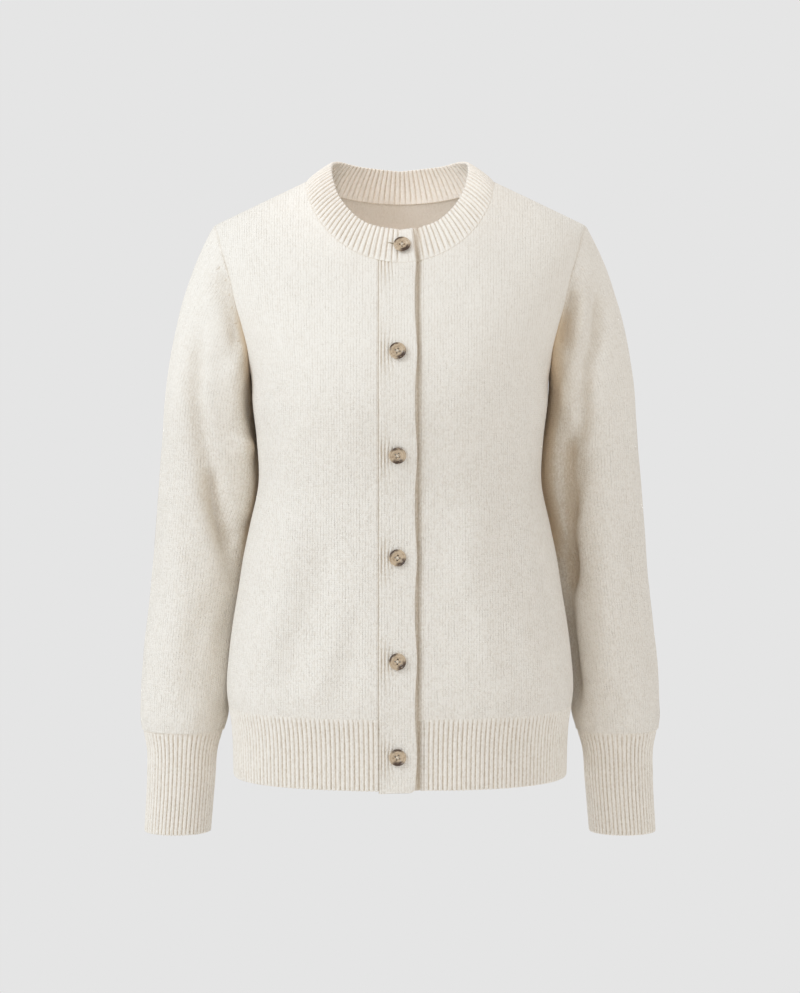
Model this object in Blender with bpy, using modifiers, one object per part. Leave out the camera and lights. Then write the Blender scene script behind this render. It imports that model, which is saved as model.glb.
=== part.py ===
"""Button cardigan in knitted wool, filled out as it is worn.

Every piece of cloth is a closed wall between an outer and an inner grid of points, both worked out from
named sizes. Sizes here are millimetres, and the model is in metres: +Z up, the front faces -Y, and the
origin is level with the high shoulder points, in the middle, where the wearer's neck and shoulders hold it.
"right" and "left" in a piece's name are the wearer's, so the right front lies at negative x.
"""

import math

import bmesh
import bpy
import numpy as np
from mathutils import Vector

MM = 0.001

# Cloth
SEAM_GAP = 0.3  # between two pieces that are sewn together
JERSEY = 2.2  # wall of the plain knit
BAND_WALL = 2.6  # the doubled button bands
RIB_WALL = 2.2
RIB_RELIEF = 0.9  # a rib's crest above its valley
LAP = 1.9  # how far the right front is lifted over, and the left front sunk under, the middle line
LAP_START = 25.0  # the fronts lie at their full lift as far as this from the middle
LAP_END = 80.0  # and level with the rest of the body from here on

# Heights, measured down from the high shoulder point
ARMPIT = -188.0
HEM_SEAM = -508.0
HEM_EDGE = -576.0
BAND_EDGE = -578.5
CUFF_SEAM = -537.0
CUFF_EDGE = -636.0

# Neckline, shoulders and armholes
NECK_HALF = 90.0
FRONT_NECK_DROP = 79.0
FRONT_NECK_CURVE = 1.1  # above 1 a neckline is rounder at its sides than a half circle
BACK_NECK_DROP = 19.5
BACK_NECK_CURVE = 1.5
SHOULDER_HALF = 180.0
SHOULDER_DROP = 43.0
NECK_ROUNDING = 95.0  # how far below the shoulder seam the cloth reaches its full depth, at the neck
ARM_ROUNDING = 47.0  # the same at the armhole
SIDE_Y = 4.0  # the side and shoulder seams lie in this plane

# Front opening
BAND_TOP_EDGE = 13.0  # free edge of the buttonhole band, past the middle
BAND_TOP_SEAM = -20.0
BAND_WAVE = 2.2  # the free edge stands out this much beside each button
BAND_WAVE_REACH = 24.0
BAND_UNDER_EDGE = -11.0
BAND_UNDER_SEAM = 22.5
BUTTONS = (
    # x, height
    (1.9, -64.2),
    (-2.3, -162.0),
    (-2.3, -259.0),
    (-2.3, -356.0),
    (-2.3, -453.0),
    (-2.3, -544.0),
)

# The body's sections: a ring's half width, and how far it stands in front of and behind the side seams
TORSO = (
    # height, half_width, front, back, squareness
    (30.0, 203.0, 50.0, 56.0, 2.0),
    (0.0, 196.0, 66.0, 66.0, 2.0),
    (-41.0, 190.0, 81.0, 79.0, 2.0),
    (-79.0, 182.0, 94.0, 90.0, 2.1),
    (-118.0, 170.0, 111.0, 97.0, 2.25),
    (-140.0, 161.0, 121.0, 99.5, 2.3),
    (-165.0, 151.0, 130.0, 100.5, 2.35),
    (-188.0, 144.5, 134.0, 100.0, 2.4),
    (-212.0, 143.3, 133.5, 97.0, 2.4),
    (-250.0, 139.0, 124.0, 89.0, 2.4),
    (-293.0, 137.6, 114.0, 83.0, 2.4),
    (-333.0, 146.0, 113.0, 84.0, 2.4),
    (-364.0, 152.5, 115.0, 87.0, 2.4),
    (-395.0, 157.4, 117.0, 91.0, 2.4),
    (-429.0, 163.0, 120.0, 96.0, 2.4),
    (-456.0, 166.5, 122.0, 99.0, 2.4),
    (-500.0, 168.5, 124.0, 103.0, 2.4),
    (-520.0, 165.0, 120.0, 100.0, 2.4),
    (-580.0, 162.0, 117.0, 97.0, 2.4),
)

# The armhole as it is seen from the front
ARMHOLE = (
    # height, half_width
    (-43.0, 180.0),
    (-52.0, 176.0),
    (-66.0, 172.0),
    (-88.0, 165.0),
    (-117.0, 158.0),
    (-140.0, 151.5),
    (-164.0, 146.0),
    (-188.0, 144.5),
)

# The neckband's rim, by the angle round the neck from the middle of the front
RIM_HALF = 67.0
RIM_FRONT = 75.0
RIM_BACK = 64.0
RIM_SQUARENESS = 0.85
RIM = (
    # angle, height
    (0.0, -49.0),
    (30.0, -41.0),
    (60.0, -16.5),
    (90.0, 15.0),
    (110.0, 19.5),
    (145.0, 15.0),
    (180.0, 11.0),
)
NECKBAND_CROWN = 1.6  # how far the neckband's middle stands out

# The sleeve's level sections: centre and half sizes
SLEEVE = (
    # height, centre_x, centre_y, half_width, half_depth
    (-232.0, 187.0, 26.0, 44.6, 53.0),
    (-262.0, 186.3, 34.0, 47.8, 51.5),
    (-292.0, 187.5, 41.0, 49.8, 50.0),
    (-325.0, 191.5, 47.0, 49.0, 48.5),
    (-360.0, 195.3, 50.5, 48.0, 47.5),
    (-400.0, 200.3, 51.5, 47.0, 46.5),
    (-440.0, 205.5, 49.0, 46.0, 45.5),
    (-480.0, 209.8, 42.0, 45.2, 44.5),
    (-510.0, 212.2, 35.0, 44.0, 43.0),
    (-526.0, 213.2, 31.0, 43.0, 41.5),
    (-537.0, 214.0, 28.5, 40.5, 38.0),
)
CUFF = (
    # height, centre_x, centre_y, half_width, half_depth
    (-537.0, 214.0, 28.0, 39.0, 36.0),
    (-552.0, 214.6, 26.0, 35.0, 33.0),
    (-585.0, 215.8, 23.0, 33.2, 31.5),
    (-636.0, 219.2, 19.0, 32.3, 31.0),
)
CAP_SWELL = 0.28  # how far the sleeve's head rounds outwards where it leaves the armhole
CAP_ARRIVAL = 0.9  # how straight it runs into the level sections below it
CAP_STEP = 20.0  # taken down the sleeve there, to find its run
UNDERARM_CLEARANCE = 0.12  # how far its underside swings away from the body
SLEEVE_DEGREE = 0.8  # length round the sleeve that one degree takes up

# The largest folds: a soft trough from one point to another, on the front (-1) or the back (1)
BODY_FOLDS = (
    # facing, x_from, z_from, x_to, z_to, width, depth
    (-1, -62.0, -330.0, -112.0, -496.0, 15.0, 4.0),
    (-1, -38.0, -400.0, -58.0, -498.0, 12.0, 2.2),
    (-1, 92.0, -285.0, 138.0, -440.0, 15.0, 4.0),
    (-1, 58.0, -390.0, 82.0, -496.0, 12.0, 2.4),
    (1, -70.0, -250.0, -104.0, -480.0, 17.0, 4.5),
    (1, 66.0, -265.0, 112.0, -470.0, 17.0, 4.5),
    (1, 6.0, -300.0, 16.0, -490.0, 16.0, 3.0),
)
SLEEVE_FOLDS = {
    "right": (
        # angle_from, z_from, angle_to, z_to, width, depth
        (285.0, -150.0, 285.0, -330.0, 10.0, 4.0),
        (285.0, -330.0, 232.0, -440.0, 10.0, 4.5),
        (300.0, -500.0, 292.0, -532.0, 8.0, 3.0),
        (80.0, -230.0, 130.0, -420.0, 11.0, 4.0),
    ),
    "left": (
        (290.0, -140.0, 278.0, -330.0, 10.0, 4.0),
        (262.0, -300.0, 240.0, -470.0, 12.0, 4.5),
        (305.0, -498.0, 296.0, -532.0, 8.0, 3.0),
        (95.0, -240.0, 60.0, -420.0, 11.0, 4.0),
    ),
}

# How finely each piece is divided
LOWER_ROWS = 11  # hem to armpit
YOKE_ROWS = 9  # armpit to shoulder, so a sleeve has twice as many columns
NECK_ROWS = 6  # of these, the ones that end on the front neckline
FRONT_COLUMNS = 13
BACK_NECK_COLUMNS = 12
BACK_SHOULDER_COLUMNS = 7
CAP_ROWS = 5
BAND_ROWS = 24
BAND_COLUMNS = 3
HEM_RIBS_BACK = 104
HEM_RIBS_FRONT = 50
CUFF_RIBS = 50
NECK_RIBS = 106
RIB_ROWS = 2

# Button, turned about its own axis: radius and height from its underside
BUTTON_PROFILE = (
    # radius, height
    (0.0, 1.9),
    (4.3, 1.9),
    (5.3, 2.7),
    (6.7, 3.0),
    (7.7, 2.5),
    (8.0, 1.7),
    (6.4, 0.3),
    (0.0, 0.0),
)
BUTTON_STEPS = 18
BUTTON_SLOPE = 4.0  # the band's slope under a button is taken this far above and below its middle
BUTTON_STAND = 0.5  # the thread holds it this far off the band

# ------------------------------------------------------------------ tables and curves


def smooth(table, column, at):
    """A column of a table, read along its first column on a smooth curve through its rows."""
    rows = np.array(sorted(table), float)
    knots, values = rows[:, 0], rows[:, column]
    slopes = np.gradient(values, knots)
    at = np.clip(np.asarray(at, float), knots[0], knots[-1])
    i = np.clip(np.searchsorted(knots, at) - 1, 0, len(knots) - 2)
    span = knots[i + 1] - knots[i]
    t = (at - knots[i]) / span
    start = (1 + 2 * t) * (1 - t) ** 2 * values[i] + t * (1 - t) ** 2 * span * slopes[i]
    end = t * t * (3 - 2 * t) * values[i + 1] - t * t * (1 - t) * span * slopes[i + 1]
    return start + end


def ease(t):
    """A soft step from 0 to 1."""
    t = np.clip(t, 0.0, 1.0)
    return t * t * (3 - 2 * t)


def unit(vectors):
    return vectors / np.linalg.norm(vectors, axis=-1, keepdims=True)


def lengths_along(points):
    """How far along a line each of its points is."""
    steps = np.linalg.norm(np.diff(points, axis=0), axis=1)
    return np.concatenate(([0.0], np.cumsum(steps)))


def spaced(points, values, count):
    """Values that go with a line's points, read at count + 1 places evenly along it."""
    along = lengths_along(points)
    places = np.linspace(0.0, along[-1], count + 1)
    values = np.asarray(values, float)
    if values.ndim == 1:
        return np.interp(places, along, values)
    return np.stack([np.interp(places, along, v) for v in values.T], axis=-1)


# ------------------------------------------------------------------ the body's form


def shoulder_height(x):
    """The shoulder seam is straight, and runs on over the neck as a guide."""
    return SHOULDER_DROP * (NECK_HALF - np.abs(x)) / (SHOULDER_HALF - NECK_HALF)


def trough(x, z, fold):
    """How deep a fold is at a point: a soft furrow that fades at both ends."""
    x0, z0, x1, z1, width, depth = fold
    run = np.array([x1 - x0, z1 - z0])
    along = ((x - x0) * run[0] + (z - z0) * run[1]) / (run @ run)
    nearest = np.clip(along, 0.0, 1.0)
    away = np.hypot(x - x0 - nearest * run[0], z - z0 - nearest * run[1])
    return depth * np.exp(-((away / width) ** 2)) * ease(np.sin(np.pi * nearest) * 1.6)


def lap(x, side):
    """How far the cloth is lifted, on the right front, or sunk, on the left one, to lie in two layers."""
    return -side * LAP * ease((LAP_END - side * x) / (LAP_END - LAP_START))


def torso(x, z, facing, side=0):
    """The body's outer surface at x and z: facing is -1 on the front and 1 on the back."""
    half, front, back, square = (smooth(TORSO, column, z) for column in (1, 2, 3, 4))
    depth = np.where(facing < 0, front, back)
    across = np.clip(np.abs(x) / half, 0.0, 1.0)
    fullness = (1 - across**square) ** (1 / square)
    rounding = NECK_ROUNDING + (ARM_ROUNDING - NECK_ROUNDING) * ease(
        (np.abs(x) - NECK_HALF) / (SHOULDER_HALF - NECK_HALF)
    )
    rise = np.clip((shoulder_height(x) - z) / rounding, 0.0, 1.0)
    depth = depth * fullness * np.sqrt(1 - (1 - rise) ** 2)
    for fold in BODY_FOLDS:
        if fold[0] == facing:
            depth = depth - trough(x, z, fold[1:])
    if side:
        depth = depth + lap(x, side)
    return np.stack([x + 0 * z, SIDE_Y + facing * depth, z + 0 * x], axis=-1)


def x_at(turn, z):
    """Half width at an angle round a ring, 0 at its middle and a quarter turn at the side seam."""
    square = smooth(TORSO, 4, z)
    return smooth(TORSO, 1, z) * np.sin(turn) ** (2 / square)


def turn_at(x, z):
    """The angle round a ring at a half width."""
    square = smooth(TORSO, 4, z)
    return np.arcsin(np.clip(x / smooth(TORSO, 1, z), 0.0, 1.0) ** (square / 2))


def even_turns(z, first, last, count, facing):
    """Angles round a ring that are evenly spaced along the cloth."""
    turns = np.linspace(first, last, 400)
    x = np.sign(turns) * x_at(np.abs(turns), np.full(turns.shape, z))
    return spaced(torso(x, np.full(turns.shape, z), facing), turns, count)


def front_neck(angle):
    """The front neckline seam at an angle from the middle, as half width and height."""
    depth = np.maximum(np.cos(angle), 0.0) ** FRONT_NECK_CURVE
    return NECK_HALF * np.sin(angle), -FRONT_NECK_DROP * depth


def back_neck(angle):
    depth = np.maximum(np.cos(angle), 0.0) ** BACK_NECK_CURVE
    return NECK_HALF * np.sin(angle), -BACK_NECK_DROP * depth


def armhole_heights(facing):
    """Heights of the yoke's rows at the armhole, evenly spaced along its curve, armpit to shoulder."""
    z = np.linspace(ARMPIT, -SHOULDER_DROP, 400)
    curve = torso(smooth(ARMHOLE, 1, z), z, facing)
    return spaced(curve, z, YOKE_ROWS)


# ------------------------------------------------------------------ walls


def normals(grid, closed=False):
    """A grid's unit normals, pointing away from the middle line of the body, or of a closed grid's rings."""
    if closed:
        across = np.roll(grid, -1, axis=1) - np.roll(grid, 1, axis=1)
    else:
        across = np.gradient(grid, axis=1)
    along = np.gradient(grid, axis=0)
    found = unit(np.cross(across, along))
    middle = grid.mean(axis=1, keepdims=True) if closed else np.array((0.0, SIDE_Y, 0.0))
    away = (grid - middle)[..., :2]
    sign = np.sign(np.sum(found[..., :2] * away))
    return found * sign


def flatten(vectors, axis):
    """Takes one direction out of an edge's normals, so that the edge stays in its plane."""
    vectors = vectors.copy()
    vectors[..., axis] = 0.0
    return unit(vectors)


def inset(grid, edge, distance):
    """Moves one edge of a grid towards the row or column beside it."""
    rows = {"first_row": (0, 1), "last_row": (-1, -2)}
    columns = {"first_column": (0, 1), "last_column": (-1, -2)}
    if edge in rows:
        here, beside = rows[edge]
        grid[here] += distance * unit(grid[beside] - grid[here])
    else:
        here, beside = columns[edge]
        grid[:, here] += distance * unit(grid[:, beside] - grid[:, here])


def part_at_seams(outer, inner, edges):
    """Draws both faces of a wall back by half a seam's gap at each edge that is sewn."""
    for edge in edges:
        inset(outer, edge, SEAM_GAP / 2)
        inset(inner, edge, SEAM_GAP / 2)


def strip_faces(long_line, short_line, closed):
    """Triangles or quads between an outer line of points and an inner one with as many or half as many."""
    ratio = 1 if len(long_line) == len(short_line) else 2
    faces = []
    steps = len(short_line) if closed else len(short_line) - 1
    for i in range(steps):
        a, b = short_line[i], short_line[(i + 1) % len(short_line)]
        outer = [long_line[(ratio * i + k) % len(long_line)] for k in range(ratio + 1)]
        if ratio == 1:
            faces.append((outer[0], outer[1], b, a))
        else:
            faces.extend([(outer[0], outer[1], a), (outer[1], b, a), (outer[1], outer[2], b)])
    return faces


def wall(name, outer, inner, closed, material):
    """A closed body between two grids of points. The outer grid may have two columns for each inner one."""
    rows = len(outer)
    points = np.concatenate([outer.reshape(-1, 3), inner.reshape(-1, 3)]) * MM
    outside = np.arange(outer.shape[0] * outer.shape[1]).reshape(outer.shape[:2])
    inside = np.arange(inner.shape[0] * inner.shape[1]).reshape(inner.shape[:2]) + outside.size
    faces = []
    for grid in (outside, inside):
        columns = grid.shape[1]
        for r in range(rows - 1):
            for c in range(columns if closed else columns - 1):
                d = (c + 1) % columns
                faces.append((grid[r, c], grid[r, d], grid[r + 1, d], grid[r + 1, c]))
    for r in (0, -1):
        faces += strip_faces(outside[r], inside[r], closed)
    if not closed:
        for c in (0, -1):
            faces += strip_faces(outside[:, c], inside[:, c], False)
    mesh = bpy.data.meshes.new(name)
    mesh.from_pydata([tuple(p) for p in points], [], [tuple(int(i) for i in f) for f in faces])
    body = bmesh.new()
    body.from_mesh(mesh)
    bmesh.ops.recalc_face_normals(body, faces=body.faces)
    body.to_mesh(mesh)
    body.free()
    return add_object(name, mesh, material)


def ribbed(surface, facing_in, height):
    """Raises every second column of a grid, and turns it into the corrugation of a rib."""
    lift = np.where(np.arange(surface.shape[1]) % 2, height / 2, -height / 2)
    return surface + facing_in * lift[None, :, None]


# ------------------------------------------------------------------ body panels


def front_grid(side, seam):
    """One front, from its band seam and neckline to its side seam and armhole. Rows go up from the hem."""
    start = side * seam
    low = np.linspace(HEM_SEAM, ARMPIT, LOWER_ROWS + 1)[:-1]
    outer_z = armhole_heights(-1)
    first_angle = math.asin(start / NECK_HALF)
    neck_x, neck_z = front_neck(np.linspace(first_angle, math.pi / 2, NECK_ROWS + 1))
    placket_z = np.linspace(ARMPIT, neck_z[0], YOKE_ROWS - NECK_ROWS + 1)[:-1]
    inner_z = np.concatenate([low, placket_z, neck_z])
    inner_x = np.concatenate([np.full(len(low) + len(placket_z), start), neck_x])
    edge_z = np.concatenate([low, outer_z])
    edge_x = np.concatenate([smooth(TORSO, 1, low), smooth(ARMHOLE, 1, outer_z)])
    rows = []
    for x0, z0, x1, z1 in zip(inner_x, inner_z, edge_x, edge_z):
        first, last = turn_at(x0, z0), turn_at(x1, z1)
        share = np.linspace(0.0, 1.0, FRONT_COLUMNS + 1)
        turns = first + (last - first) * share
        middle = z0 + (z1 - z0) * share
        x = x_at(turns, middle)
        x[0], x[-1] = x0, x1
        z = z0 + (z1 - z0) * (x - x0) / (x1 - x0)
        rows.append(torso(side * x, z, -1, side))
    return np.array(rows)


def back_columns():
    """Places along the back's upper edge: shoulder, neckline, shoulder, as x and height."""
    neck = np.linspace(-math.pi / 2, math.pi / 2, BACK_NECK_COLUMNS + 1)
    neck_x, neck_z = back_neck(neck)
    shoulder_x = np.linspace(SHOULDER_HALF, NECK_HALF, BACK_SHOULDER_COLUMNS + 1)[:-1]
    x = np.concatenate([-shoulder_x, neck_x, shoulder_x[::-1]])
    z = np.concatenate([shoulder_height(shoulder_x), neck_z, shoulder_height(shoulder_x)[::-1]])
    return x, z


def back_grid():
    """The back, from its left edge as seen from the front to its right one. Rows go up from the hem."""
    top_x, top_z = back_columns()
    turns = np.linspace(-math.pi / 2, math.pi / 2, len(top_x))
    rows = []
    for z in np.linspace(HEM_SEAM, ARMPIT, LOWER_ROWS + 1)[:-1]:
        x = np.sign(turns) * x_at(np.abs(turns), np.full(turns.shape, z))
        rows.append(torso(x, np.full(x.shape, z), 1))
    heights = armhole_heights(1)
    for k, z_edge in enumerate(heights):
        share = (z_edge - ARMPIT) / (-SHOULDER_DROP - ARMPIT)
        z = ARMPIT + (top_z - ARMPIT) * share
        x_edge = smooth(ARMHOLE, 1, z_edge)
        last = turn_at(x_edge, z_edge)
        ring = x_at(np.abs(turns) / (math.pi / 2) * last, np.full(turns.shape, z_edge))
        x = np.sign(turns) * ring
        blend = ease(k / YOKE_ROWS)
        x = x + (top_x * x_edge / SHOULDER_HALF - x) * blend
        x[0], x[-1] = -x_edge, x_edge
        rows.append(torso(x, z, 1))
    return np.array(rows)


# ------------------------------------------------------------------ sleeves


def section(table, z, angles):
    """A level ring of a sleeve or cuff on the left side, at positive x."""
    cx, cy, half_width, half_depth = (smooth(table, column, z) for column in (1, 2, 3, 4))
    x = cx + half_width * np.cos(angles)
    y = cy + half_depth * np.sin(angles)
    return np.stack([x, y, np.full(angles.shape, float(z))], axis=-1)


def sleeve_grid(armhole, folds):
    """A sleeve at positive x, from its armhole down to the cuff seam. Columns go from the armpit up the front,
    over the outside and down the back."""
    angles = math.pi + np.linspace(0.0, 2 * math.pi, 2 * YOKE_ROWS, endpoint=False)
    top = SLEEVE[0][0]
    ring = section(SLEEVE, top, angles)
    below = section(SLEEVE, top - CAP_STEP, angles)
    chord = ring - armhole
    reach = np.linalg.norm(chord, axis=1, keepdims=True)
    outward = np.stack([np.cos(angles), np.sin(angles), 0 * angles], axis=-1)
    turned_out = ((1 + np.cos(angles)) / 2)[:, None]
    swell = CAP_SWELL * np.sqrt(turned_out) * np.maximum(outward, (0.0, -1.0, 0.0))
    clearance = UNDERARM_CLEARANCE * (1 - turned_out) * np.array((1.0, 0.0, 0.0))
    leave = chord + reach * (swell + clearance)
    arrive = CAP_ARRIVAL * reach * unit(below - ring)
    rows = []
    for t in np.linspace(0.0, 1.0, CAP_ROWS + 1):
        start = (1 + 2 * t) * (1 - t) ** 2 * armhole + t * (1 - t) ** 2 * leave
        end = t * t * (3 - 2 * t) * ring - t * t * (1 - t) * arrive
        rows.append(start + end)
    for row in SLEEVE[1:]:
        rows.append(section(SLEEVE, row[0], angles))
    grid = np.array(rows)
    round_sleeve = SLEEVE_DEGREE * (np.degrees(angles) % 360.0)
    for angle_from, z_from, angle_to, z_to, width, depth in folds:
        fold = (SLEEVE_DEGREE * angle_from, z_from, SLEEVE_DEGREE * angle_to, z_to, width, depth)
        grid[1:] -= trough(round_sleeve, grid[1:, :, 2], fold)[..., None] * outward
    return grid


def armhole_line(front_edge, back_edge):
    """The armhole's points in the sleeve's order: armpit, up the front, over the shoulder, down the back."""
    return np.concatenate([front_edge, back_edge[-2:0:-1]])


def armhole_seam(line, body_normals, sleeve_normals):
    """The armhole seam's inner line, on the mitre between the two walls that meet there, and the step by
    which the body's wall is drawn back from the seam. Under the arm both walls run down side by side, so there
    the mitre points straight up and the walls part sideways."""
    along = unit(np.roll(line, -1, axis=0) - np.roll(line, 1, axis=0))
    into_body = np.cross(body_normals, along)
    into_sleeve = np.cross(along, sleeve_normals)
    folded = np.maximum(np.sum(into_body * into_sleeve, axis=1, keepdims=True), 0.0)
    mitre = unit(body_normals + sleeve_normals + folded * (into_body + into_sleeve))
    to_body = unit(into_body - into_sleeve + folded * (sleeve_normals - body_normals))
    return line - JERSEY * mitre, SEAM_GAP / 2 * to_body


# ------------------------------------------------------------------ ribs, neckband and bands


def hem_rib(name, turns, facing, side, material):
    """A strip of the ribbed hem. It has its crests outside and is plain inside."""
    heights = np.linspace(HEM_SEAM, HEM_EDGE, RIB_ROWS + 1)
    x = [np.sign(turns) * x_at(np.abs(turns), np.full(turns.shape, z)) for z in heights]
    surface = np.array([torso(row, np.full(row.shape, z), facing, side) for row, z in zip(x, heights)])
    if side:
        surface[:, 0, 0] = {-1: BAND_TOP_SEAM, 1: BAND_UNDER_SEAM}[side]
    out = normals(surface)
    out[0] = flatten(out[0], 2)
    out[:, -1] = flatten(out[:, -1], 1)
    out[:, 0] = flatten(out[:, 0], 0 if side else 1)
    outer = ribbed(surface, out, RIB_RELIEF)
    inner = (surface - RIB_WALL * out)[:, ::2]
    part_at_seams(outer, inner, ("first_row", "first_column", "last_column"))
    return wall(name, outer, inner, False, material)


def cuff(name, side, material):
    angles = math.pi + np.linspace(0.0, 2 * math.pi, 2 * CUFF_RIBS, endpoint=False)
    heights = (CUFF_SEAM, CUFF[1][0], CUFF_EDGE)
    surface = np.array([section(CUFF, z, angles) for z in heights])
    out = normals(surface, True)
    out[0] = flatten(out[0], 2)
    outer = ribbed(surface, out, RIB_RELIEF)
    inner = (surface - RIB_WALL * out)[:, ::2]
    part_at_seams(outer, inner, ("first_row",))
    return wall(name, outer * (side, 1, 1), inner * (side, 1, 1), True, material)


def neck_angles(seam):
    """Angles round the neck of the seam's points, which run from the middle of the front, by way of the
    right shoulder and the back, to the middle of the front again."""
    quarter = np.arcsin(np.clip(seam[:, 0] / NECK_HALF, -1.0, 1.0))
    behind = seam[:, 1] >= SIDE_Y
    second_half = np.arange(len(seam)) > len(seam) // 2
    return np.where(behind, -math.pi - quarter, np.where(second_half, quarter - 2 * math.pi, quarter))


def rim_point(angle, layer):
    """The neckband's upper edge at an angle round the neck. layer moves it where the band's ends lap."""
    turn = math.pi - np.abs(np.abs(angle) % (2 * math.pi) - math.pi)
    x = RIM_HALF * np.sin(angle)
    reach = np.where(turn < math.pi / 2, RIM_FRONT, RIM_BACK)
    y = SIDE_Y - reach * np.sign(np.cos(turn)) * np.abs(np.cos(turn)) ** RIM_SQUARENESS
    return np.stack([x, y - layer, smooth(RIM, 1, np.degrees(turn))], axis=-1)


def neckband(seam, seam_normals, layer, material):
    """The neckband stands on its seam line, which runs from its upper end round the back to its lower end."""
    count = 2 * NECK_RIBS
    line = spaced(seam, seam, count)
    out_of_body = unit(spaced(seam, seam_normals, count))
    layers = spaced(seam, layer, count)
    angle = spaced(seam, neck_angles(seam), count)
    rim = rim_point(angle, layers)
    share = np.linspace(0.0, 1.0, RIB_ROWS + 1)[:, None, None]
    surface = line + (rim - line) * share
    out = normals(surface)
    surface = surface + NECKBAND_CROWN * np.sin(math.pi * share) * out
    for end in (0, -1):
        out[:, end] = flatten(out[:, end], 0)
    out[0] = out_of_body
    outer = ribbed(surface, out, RIB_RELIEF)
    inner = ribbed(surface - RIB_WALL * out, out, RIB_RELIEF)
    for grid in (outer, inner):
        inset(grid, "first_row", SEAM_GAP)  # twice a flat seam's share, since this one twists
    return wall("neckband", outer, inner, False, material)


def band_edge(z):
    """The buttonhole band's free edge: it stands out beside each button and draws back between them."""
    wave = sum(np.exp(-(((z - button) / BAND_WAVE_REACH) ** 2)) for _, button in BUTTONS)
    return BAND_TOP_EDGE + BAND_WAVE * wave


def band_grid(side, seam, edge):
    """A button band from its seam to its free edge. Rows go up from the hem to the neckline."""
    share = np.linspace(0.0, 1.0, BAND_COLUMNS + 1)
    across = seam + (edge(-FRONT_NECK_DROP) - seam) * share
    top = front_neck(np.arcsin(across / NECK_HALF))[1]
    rows = []
    for up in np.linspace(0.0, 1.0, BAND_ROWS + 1):
        z = BAND_EDGE + (top - BAND_EDGE) * up
        x = seam + (edge(z[-1]) - seam) * share
        rows.append(torso(x, z, -1, side))
    return np.array(rows)


def button(name, x, z, material):
    """A button that lies on the buttonhole band, square to it."""
    here, above, below = (
        torso(np.array(x), np.array(z + step), -1, -1) for step in (0.0, BUTTON_SLOPE, -BUTTON_SLOPE)
    )
    if z > -FRONT_NECK_DROP:
        low = torso(np.array(x), np.array(-FRONT_NECK_DROP), -1, -1)
        high = rim_point(np.array(math.asin(x / RIM_HALF)), LAP)
        share = (z - low[2]) / (high[2] - low[2])
        here, above, below = low + (high - low) * share, high, low
    slope = unit(above - below)
    out = unit(np.cross((1.0, 0.0, 0.0), slope))
    if here[2] > -FRONT_NECK_DROP:
        here = here + (NECKBAND_CROWN + RIB_RELIEF / 2) * out
    mesh = bpy.data.meshes.new(name)
    points = [(r * MM, 0.0, h * MM) for r, h in BUTTON_PROFILE]
    mesh.from_pydata(points, [(i, i + 1) for i in range(len(points) - 1)], [])
    piece = add_object(name, mesh, material)
    turned = piece.modifiers.new("turned", "SCREW")
    turned.axis = "Z"
    turned.steps = turned.render_steps = BUTTON_STEPS
    turned.use_merge_vertices = True
    turned.merge_threshold = 0.00001
    turned.use_smooth_shade = True
    piece.location = Vector((here + BUTTON_STAND * out) * MM)
    piece.rotation_euler = Vector(out).to_track_quat("Z", "Y").to_euler()
    return piece


# ------------------------------------------------------------------ scene


def clear_scene():
    for item in list(bpy.data.objects):
        bpy.data.objects.remove(item, do_unlink=True)


def make_material(name, colour, roughness):
    material = bpy.data.materials.new(name)
    material.use_nodes = True
    shader = material.node_tree.nodes["Principled BSDF"]
    shader.inputs["Base Color"].default_value = (*colour, 1.0)
    shader.inputs["Roughness"].default_value = roughness
    shader.inputs["Metallic"].default_value = 0.0
    return material


def add_object(name, mesh, material):
    item = bpy.data.objects.new(name, mesh)
    mesh.materials.append(material)
    mesh.shade_smooth()
    mesh.set_sharp_from_angle(angle=math.radians(50))
    bpy.data.collections["Button cardigan"].objects.link(item)
    return item


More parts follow.
